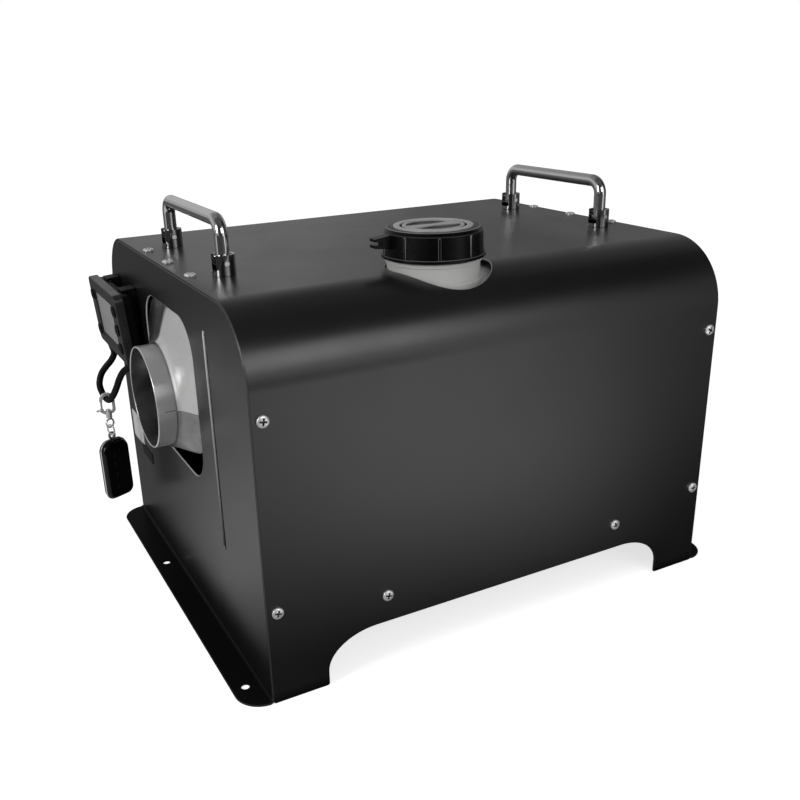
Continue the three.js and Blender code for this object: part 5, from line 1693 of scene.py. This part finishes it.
@dataclass
class FoldingHandle(SubAssembly):
    """A chrome bail between two slotted posts, folding about two pins."""

    end: End
    inset: float = 26.9
    span: float = 120.3
    post_radius: float = 8.0
    post_height: float = 13.5
    post_edge: float = 0.8
    pivot_height: float = 8.0
    pin_radius: float = 1.7
    pin_head_radius: float = 2.4
    pin_head: float = 0.7
    bar_radius: float = 4.7
    rise: float = 39.5
    bend: float = 10.0
    bend_steps: int = 16

    def build(self) -> None:
        """Makes the posts, the pins and the bail."""
        case = self.case
        x = self.inset if self.end is End.LEFT else case.length - self.inset
        name = f"{self.end.value}_handle"
        base = case.height + case.seat_gap
        for y, where in ((-self.span / 2, "front"), (self.span / 2, "rear")):
            place = case.place @ Matrix.Translation((x, case.middle + y, base))
            self.shop.skin(f"{name}_{where}_post", self._post(), place, "post_chrome")
            self.shop.skin(f"{name}_{where}_pin", self._pin(), place, "chrome")
        place = case.place @ Matrix.Translation((x, case.middle, base))
        self.shop.skin(f"{name}_bail", self._bail(), place, "chrome")

    def _rod(self, radius: float, y: float, reach: float, steps: int) -> Solid:
        """Makes a rod along the pivot's line, about a place on it."""
        return Solid.rod(Axis.Y, radius, y - reach, y + reach, steps).at(0, 0, self.pivot_height)

    def _post(self) -> Solid:
        """Turns a post and cuts the slot that the bail folds through."""
        gap, pivot, top = self.case.seat_gap, self.pivot_height, self.post_height
        slot = self.bar_radius + gap
        high, reach = top + 2, self.post_radius + 2
        body = Solid.rod(Axis.Z, self.post_radius, 0, top, 64)
        tools = [
            Solid.block((-reach, -slot, pivot - slot), (0, slot, high)),
            self._rod(slot, 0, slot, 48),
            Solid.block((-0.01, -slot, pivot), (slot, slot, high)),
            self._rod(self.pin_radius + gap, 0, reach, 24),
        ]
        return body.cut(*tools).softened(self.post_edge / 2, 3, 35)

    def _pin(self) -> Solid:
        """Turns a pin with a low domed head."""
        end, shank = self.post_radius, self.pin_radius
        outside = end + self.case.seat_gap
        dome = [
            (self.pin_head_radius * math.sin(a), -outside - self.pin_head * math.cos(a))
            for a in quarter_turn(8)[1:]
        ]
        profile = [(0, -outside - self.pin_head), *dome, (shank, -outside), (shank, end), (0, end)]
        return Solid.turned(Axis.Z, profile, 32).moved(Axis.Y.stand()).at(0, 0, self.pivot_height)

    def _bail(self) -> Solid:
        """Bends the bar, with a round eye at each foot."""
        half, bend, low = self.span / 2, self.bend, self.pivot_height
        shoulder, high = half - bend, self.rise - self.bar_radius - bend
        bends = [(bend * math.sin(a), high + bend * math.cos(a)) for a in quarter_turn(self.bend_steps)]
        path = [Vector((0, -half, low))]
        path += [Vector((0, -shoulder - y, z)) for y, z in reversed(bends)]
        path += [Vector((0, shoulder + y, z)) for y, z in bends]
        path.append(Vector((0, half, low)))
        bar = Solid.swept(path, self.bar_radius, 40)
        eyes = [self._rod(self.bar_radius - 0.02, y, self.bar_radius, 40) for y in (-half, half)]
        holes = [self._rod(self.pin_radius + 0.3, y, self.post_radius, 24) for y in (-half, half)]
        return bar.joined(*eyes).cut(*holes).softened(0.4, 2, 40)


@dataclass
class Controller(SubAssembly):
    """The wired controller on its bracket: bezel, screen, five buttons and a rear shell."""

    out: float = 19.2
    from_back: float = 51.1
    drop: float = 62.5
    tilt_deg: float = 4.04
    width: float = 95.0
    height: float = 56.0
    corner: float = 6.0
    bezel_depth: float = 7.5
    bezel_wall: float = 2.0
    bezel_edge: float = 0.9
    window_width: float = 56.0
    window_height: float = 35.0
    screen_depth: float = 3.4
    screen_recess: float = 0.8
    rear_depth: float = 7.2
    rear_inset: float = 2.0
    rear_stations: tuple = ((0, 0.4), (0.06, 0), (0.55, 0.1), (0.8, 0.9), (0.94, 2.0), (1, 3.0))
    button_width: float = 11.0
    button_height: float = 8.5
    button_corner: float = 4.0
    button_proud: float = 1.2
    button_root: float = 3.3
    button_gap: float = 0.3
    button_shares: tuple = ((0.79, 0.486), (0.79, -0.604), (-0.79, 0.504), (-0.79, -0.039), (-0.79, -0.583))
    mark_rise: float = 0.15
    mark_root: float = 0.3
    mark_width: float = 3.6
    mark_height: float = 0.7
    mark_radii: tuple = (1.9, 1.3)
    relief_radius: float = 4.2
    relief_length: float = 4.0
    relief_inset: float = 3.75
    relief_aside: float = 20.0
    relief_rings: int = 4

    def __post_init__(self) -> None:
        """Sets the controller's own frame: x into the case, y along its width and z up."""
        case = self.case
        spot = Matrix.Translation((-self.out, case.depth - self.from_back, case.height - self.drop))
        tilt = Matrix.Rotation(-math.radians(self.tilt_deg), 4, "Y")
        self.place = case.place @ spot @ tilt

    def build(self) -> None:
        """Makes every piece of the controller."""
        self._bezel()
        self._screen()
        self._buttons()
        self._rear()
        self.shop.refined("controller_bracket", "dark_plastic", 0.4)

    def _prism(
        self, loops: Sequence[Loop], start: float, end: float, edge: float = 0, steps: int = 3
    ) -> Solid:
        """Makes a plate across the controller's x axis."""
        return Solid.slab(loops, start, end, edge, steps).moved(Axis.X.stand())

    def _spot(self, share: Sequence[float]) -> tuple[float, float]:
        """Returns a button's place on the face."""
        return share[0] * self.width / 2, share[1] * self.height / 2

    def _button_loop(self, share: Sequence[float], grow: float) -> Loop:
        """Returns a button's outline on the face."""
        size = self.button_width + 2 * grow, self.button_height + 2 * grow
        return box_loop(*self._spot(share), *size, self.button_corner + grow, 8)

    def _bezel(self) -> None:
        """Makes the face with its window and button holes, hollow behind, and the lead's relief."""
        wall, depth = self.bezel_wall, self.bezel_depth
        face = box_loop(0, 0, self.width, self.height, self.corner)
        pocket = box_loop(0, 0, self.width - 2 * wall, self.height - 2 * wall, self.corner - wall)
        window = box_loop(0, 0, self.window_width, self.window_height, wall)
        step = box_loop(0, 0, self.window_width + 5, self.window_height + 5, wall + 2)
        tools = [([pocket], wall, depth + 1), ([window], -1, wall + 1), ([step], -1, 0.5)]
        tools += [([self._button_loop(s, self.button_gap)], -2, wall + 1) for s in self.button_shares]
        body = self._prism([face], 0, depth, self.bezel_edge)
        bezel = body.cut(*(self._prism(*tool) for tool in tools)).softened(0.3, 2)
        self.shop.skin("controller_bezel", bezel.beside(self._relief()), self.place, "bezel_plastic")

    def _relief(self) -> Solid:
        """Turns the ringed relief that the lead leaves the face through."""
        low, high, rings = -self.height / 2 - self.relief_length, -self.height / 2 + 1, self.relief_rings
        profile = [(0, low)]
        for k in range(rings):
            a, b, c = (low + (high - low) * (k + share) / rings for share in (0, 0.55, 1))
            radius = self.relief_radius - 1 + 0.7 * k / rings
            profile += [(radius, a), (radius + 0.1, b), (radius - 0.5, b + 0.2), (radius - 0.5, c - 0.1)]
        profile.append((0, high))
        return Solid.turned(Axis.Z, profile, 32).at(self.relief_inset, self.relief_aside, 0)

    def _screen(self) -> None:
        """Makes the screen, which stands in the bezel's window."""
        gap = self.case.seat_gap
        size = self.window_width - 2 * gap, self.window_height - 2 * gap
        glass = box_loop(0, 0, *size, self.bezel_wall - gap)
        solid = self._prism([glass], self.screen_recess, self.screen_depth, 0.25, 2)
        self.shop.skin("controller_screen", solid, self.place, "screen_glass")

    def _buttons(self) -> None:
        """Makes the buttons, each on its own body, with a raised generic mark."""
        face = -self.button_proud
        for i, share in enumerate(self.button_shares):
            button = self._prism([self._button_loop(share, 0)], face, self.button_root, 0.7, 4)
            spot = self._spot(share)
            outer, inner = (circle_loop(*spot, radius, 32) for radius in self.mark_radii)
            bar = box_loop(*spot, self.mark_width, self.mark_height, 0.3, 3)
            loops = [bar] if i else [outer, inner[::-1]]
            mark = self._prism(loops, face - self.mark_rise, face + self.mark_root)
            self.shop.skin(f"controller_button_{i + 1}", button.beside(mark), self.place, "black_rubber")

    def _rear(self) -> None:
        """Makes the rear shell, drawn in towards the case."""
        start = self.bezel_depth + self.case.seat_gap
        rings = []
        for share, inset in self.rear_stations:
            grow = 2 * (self.rear_inset + inset)
            loop = box_loop(0, 0, self.width - grow, self.height - grow, self.corner)
            rings.append([Vector((start + share * self.rear_depth, p.x, p.y)) for p in loop])
        self.shop.skin("controller_rear_shell", Solid.loft(rings), self.place, "dark_plastic")


@dataclass
class LeadAndRemote(SubAssembly):
    """The controller's lead, its grommet, and the remote that hangs from it on a clasp."""

    lead_diameter: float = 5.5
    hang_out: float = 27.0
    hang_from_back: float = 43.1
    hang_height: float = 128.0
    fob_width: float = 27.0
    fob_height: float = 55.0
    fob_thick: float = 9.5
    fob_yaw_deg: float = 25.0
    fob_step: float = 0.4
    fob_crown: float = 2.2
    top_corner: float = 10.0
    bottom_corner: float = 7.0
    trim_thick: float = 1.6
    button_width: float = 8.5
    button_height: float = 6.5
    button_corner: float = 2.6
    pocket_depth: float = 2.1
    button_shares: tuple = (0.52, 0.16, -0.2, -0.56)
    route: tuple = (
        (-13.2, 302.5, 166.4), (-13.3, 302.6, 162.8), (-16, 304.2, 157), (-20.8, 306.2, 151.4),
        (-25.4, 307.6, 145), (-28.4, 305.8, 136.6), (-27.9, 299.2, 129.9), (-27, 290.5, 128),
        (-26.2, 281.9, 129.6), (-24.2, 275.2, 134.8), (-21.6, 269.2, 143), (-19.4, 263.6, 151.8),
        (-15.8, 257, 160.4), (-9.4, 249.8, 165.4), (-3.4, 247, 166), (5, 247, 166),
    )

    def build_lead(self) -> None:
        """Runs the lead from the controller, round its hanging loop, into the grommet."""
        place = self.case.place
        line = [place @ p for p in smooth_route(self.route, 8)]
        curve = bpy.data.curves.new("controller_lead_skin", "CURVE")
        curve.dimensions = "3D"
        spline = curve.splines.new("POLY")
        spline.points.add(len(line) - 1)
        for point, co in zip(spline.points, line):
            point.co = (*co, 1)
        spline.use_smooth = True
        curve.bevel_depth = self.lead_diameter / 2 * MM
        curve.bevel_resolution = 7
        curve.use_fill_caps = True
        curve.materials.append(self.shop.material["black_rubber"])
        lead = put("controller_lead_skin", curve)
        self.shop.enter(lead, "black_rubber", "case", ["controller_lead"])

    def build(self) -> None:
        """Makes the grommet, the clasp and the remote."""
        self.shop.refined("lead_grommet", "black_rubber", 0.4)
        for node in ("clasp_body", "clasp_lever", "clasp_swivel", "fob_ring"):
            self.shop.refined(node, "clasp_chrome", 0.25, 2, 30)
        self._remote()

    def _remote(self) -> None:
        """Makes the remote's trim, its two shells and its buttons."""
        case, gap = self.case, self.case.seat_gap
        spot = Matrix.Translation((-self.hang_out, case.depth - self.hang_from_back, self.hang_height))
        place = case.place @ spot @ Matrix.Rotation(math.radians(self.fob_yaw_deg), 4, "Z")
        half, band = self.fob_thick / 2, self.trim_thick / 2
        bottom, top = (corner.z / MM - self.hang_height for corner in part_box("fob_front_shell"))

        def outline(inset: float) -> Loop:
            """Returns the remote's outline, drawn in."""
            left, low, high = -self.fob_width / 2 + inset, bottom + inset, top - inset
            lower, upper = self.bottom_corner - inset / 2, self.top_corner - inset / 2
            corners = [(left, low, lower), (-left, low, lower), (-left, high, upper), (left, high, upper)]
            return rounded_loop(corners, 12)

        def shell(direction: int) -> Solid:
            """Lofts a crowned half of the remote from its trim outwards."""
            start, rings = band + gap, []
            for a in quarter_turn(8):
                y = direction * (start + (half - start) * math.sin(a))
                loop = outline(self.fob_step + self.fob_crown * (1 - math.cos(a)))
                rings.append([Vector((p.x, y, p.y)) for p in loop])
            return Solid.loft(rings)

        size = self.button_width + 2 * gap, self.button_height + 2 * gap, self.button_corner + gap
        places = [(top + bottom) / 2 + share * self.fob_height / 2 for share in self.button_shares]
        pockets = [
            Solid.slab([box_loop(0, z, *size, 6)], half - self.pocket_depth, half + 1).moved(Axis.Y.stand())
            for z in places
        ]
        self.shop.skin("fob_front_shell", shell(-1).cut(*pockets), place, "gloss_black")
        self.shop.skin("fob_rear_shell", shell(1), place, "gloss_black")
        self.shop.refined("fob_trim", "chrome", 0.3)
        for i in range(len(places)):
            self.shop.refined(f"fob_button_{i + 1}", "gloss_black", 0.5, 3)


@dataclass
class Lamp:
    """A soft lamp of the studio."""

    name: str
    spot: Triple
    aim: Triple
    size: tuple[float, float]
    watts: float

    def build(self) -> None:
        """Hangs the lamp."""
        light = bpy.data.lights.new(self.name, "AREA")
        light.shape = "RECTANGLE"
        light.size, light.size_y = self.size
        light.energy = self.watts
        thing = put(self.name, light)
        thing.location = self.spot
        thing.rotation_mode = "QUATERNION"
        thing.rotation_quaternion = (Vector(self.aim) - Vector(self.spot)).to_track_quat("-Z", "Y")


@dataclass
class Studio:
    """The camera, the pale floor, the lamps and the world.

    The eye sees a white room. Gloss sees another: a lit pool on the floor in front of the case, a strip on
    the floor beside its left end, a bank of light in front, a grey wall behind, and a dim roof.
    """

    camera_spot: Triple = (-0.3330, -0.6365, 0.3882)
    camera_right: Triple = (0.8815, -0.4716, -0.0253)
    camera_up: Triple = (0.1936, 0.3120, 0.9301)
    camera_back: Triple = (-0.4308, -0.8248, 0.3663)
    lens: float = 41.23
    shift: tuple[float, float] = (0.021, 0.029)
    floor_size: float = 12.0
    floor_grey: float = 0.8
    floor_glow: float = 0.72
    sky_soft: float = 0.4
    least_front: float = 0.02
    least_back: float = 0.05
    pool_slant: Ramp = Ramp(0.5, 1.05, 1.0, 0.1)
    pool_side: Ramp = Ramp(-0.3, 0.05)
    pool_front: Ramp = Ramp(0.2, 0.42, 0.06, 1.0)
    lane_front: Ramp = Ramp(1.0, 1.15, 1.0, 0.1)
    lane_slant: Ramp = Ramp(0.4, 0.5, 0.1, 1.0)
    strip_slope: float = 0.35
    strip_side: Ramp = Ramp(-0.215, -0.15, 0.53, 0.159)
    strip_back: Ramp = Ramp(0.12, 0.95, 1.0, 0.22)
    strip_front: Ramp = Ramp(-0.14, 0.0, 0.1, 1.0)
    floor_rest: Ramp = Ramp(-0.1, 0.2, 0.03, 0.1)
    bank_right: Ramp = Ramp(0.55, 1.05, 1.0, 0.05)
    bank_left: Ramp = Ramp(0.05, 0.4)
    bank_top: Ramp = Ramp(0.44, 0.72, 1.0, 0.1)
    bank_depth: Ramp = Ramp(0.02, 0.2)
    wall_right: Ramp = Ramp(0.40, 0.60, 1.0, 0.62)
    wall_level: Ramp = Ramp(0.75, 1.3, 0.47, 0.4935)
    wall_top: Ramp = Ramp(0.3, 0.75, 1.0, 0.4)
    wall_foot: Ramp = Ramp(0.1, 0.22, 0.75, 1.0)
    wall_depth: Ramp = Ramp(0.0, 0.25)
    left_side: Ramp = Ramp(-0.85, -0.55, 0.3, 0.0)
    roof_level: Ramp = Ramp(0.6, 0.85, 0.03, 0.08)
    roof_right: Ramp = Ramp(0.45, 0.7, 1.0, 0.3)
    lamps: tuple[Lamp, ...] = (
        Lamp("key_lamp", (0.24, -1.66, 1.0), (0, 0, 0.15), (1.3, 0.8), 5),
        Lamp("left_lamp", (-1.7, -0.5, 0.9), (-0.1, 0, 0.15), (0.4, 0.9), 11),
    )

    def build_camera(self) -> None:
        """Sets the camera where the photograph was taken from."""
        camera = bpy.data.cameras.new("camera")
        camera.lens = self.lens
        camera.sensor_width = 36
        camera.shift_x, camera.shift_y = self.shift
        camera.clip_start, camera.clip_end = 0.01, 100
        thing = put("camera", camera)
        columns = [self.camera_right, self.camera_up, self.camera_back, self.camera_spot]
        thing.matrix_world = Matrix([[c[i] for c in columns] for i in range(3)] + [[0, 0, 0, 1]])
        bpy.context.scene.camera = thing

    def build(self) -> None:
        """Lays the floor, hangs the lamps and lights the world."""
        self._floor()
        self._world()
        for lamp in self.lamps:
            lamp.build()
        bpy.context.scene.view_settings.view_transform = "Standard"

    def _forward(self, graph: Graph, x: Socket, y: Socket) -> tuple[Socket, Socket]:
        """Returns how far in front of the case a place is, and its slant to the right."""
        front = graph.math("MAXIMUM", graph.math("MULTIPLY", y, -1.0), self.least_front)
        return front, graph.math("DIVIDE", x, front)

    def _floor(self) -> None:
        """Lays a floor that is white to the eye and keeps a soft shadow. In gloss it is lit in parts."""
        half = self.floor_size / 2
        mesh = bpy.data.meshes.new("floor")
        corners = [(-half, -half, 0), (half, -half, 0), (half, half, 0), (-half, half, 0)]
        mesh.from_pydata(corners, [], [(0, 1, 2, 3)])
        material = bpy.data.materials.new("floor")
        material.use_nodes = True
        graph = Graph(material.node_tree)
        matte = graph.add("ShaderNodeBsdfDiffuse", {"Color": (*tint(self.floor_grey), 1)}).outputs[0]
        glow = graph.lit("ShaderNodeEmission", self.floor_glow)
        seen = graph.add("ShaderNodeAddShader", {0: matte, 1: glow}).outputs[0]
        x, y, _ = graph.split("Object")
        front, slant = self._forward(graph, x, y)
        lane = graph.math(
            "MAXIMUM", graph.ranged(front, self.lane_front), graph.ranged(slant, self.lane_slant)
        )
        pool = graph.product((slant, self.pool_slant), (x, self.pool_side), (front, self.pool_front))
        pool = graph.math("MULTIPLY", pool, lane)
        across = graph.math("MULTIPLY_ADD", y, self.strip_slope, x)
        strip = graph.product((across, self.strip_side), (y, self.strip_back), (y, self.strip_front))
        level = graph.chained("MAXIMUM", pool, strip, graph.ranged(y, self.floor_rest))
        clear, glossy = graph.rays()
        plain = graph.chosen(clear, matte, seen)
        surface = graph.chosen(glossy, plain, graph.lit("ShaderNodeEmission", level))
        graph.add("ShaderNodeOutputMaterial", {"Surface": surface})
        mesh.materials.append(material)
        put("floor", mesh)

    def _world(self) -> None:
        """Makes a world that is white to the eye, and in gloss a dim room with a bank of light and a wall."""
        world = bpy.data.worlds.new("world")
        bpy.context.scene.world = world
        world.use_nodes = True
        graph = Graph(world.node_tree)
        x, y, z = graph.split("Generated")
        front, slant = self._forward(graph, x, y)
        bank = graph.product(
            (slant, self.bank_right), (slant, self.bank_left), (z, self.bank_top), (front, self.bank_depth)
        )
        away = graph.math("DIVIDE", x, graph.math("MAXIMUM", y, self.least_back))
        wall = graph.product(
            (away, self.wall_right),
            (away, self.wall_level),
            (z, self.wall_top),
            (z, self.wall_foot),
            (y, self.wall_depth),
        )
        roof = graph.product((z, self.roof_level), (x, self.roof_right))
        rest = graph.math("MAXIMUM", graph.ranged(x, self.left_side), roof)
        level = graph.chained("MAXIMUM", bank, wall, rest)
        soft, gloss, white = (graph.lit("ShaderNodeBackground", s) for s in (self.sky_soft, level, 1.0))
        clear, glossy = graph.rays()
        surface = graph.chosen(clear, graph.chosen(glossy, soft, gloss), white)
        graph.add("ShaderNodeOutputWorld", {"Surface": surface})


def main() -> None:
    """Builds the studio and then every sub-assembly, in order."""
    logging.basicConfig(level=logging.INFO, format="%(name)s: %(message)s")
    studio = Studio()
    studio.build_camera()
    case = CaseFrame()
    shop = Workshop()
    remote = LeadAndRemote(case, shop)
    remote.build_lead()
    SheetCase(case, shop).build()
    FuelSystem(case, shop).build()
    Burner(case, shop).build()
    for end in End:
        FoldingHandle(case, shop, end).build()
    Controller(case, shop).build()
    remote.build()
    studio.build()


if __name__ == "__main__":
    main()
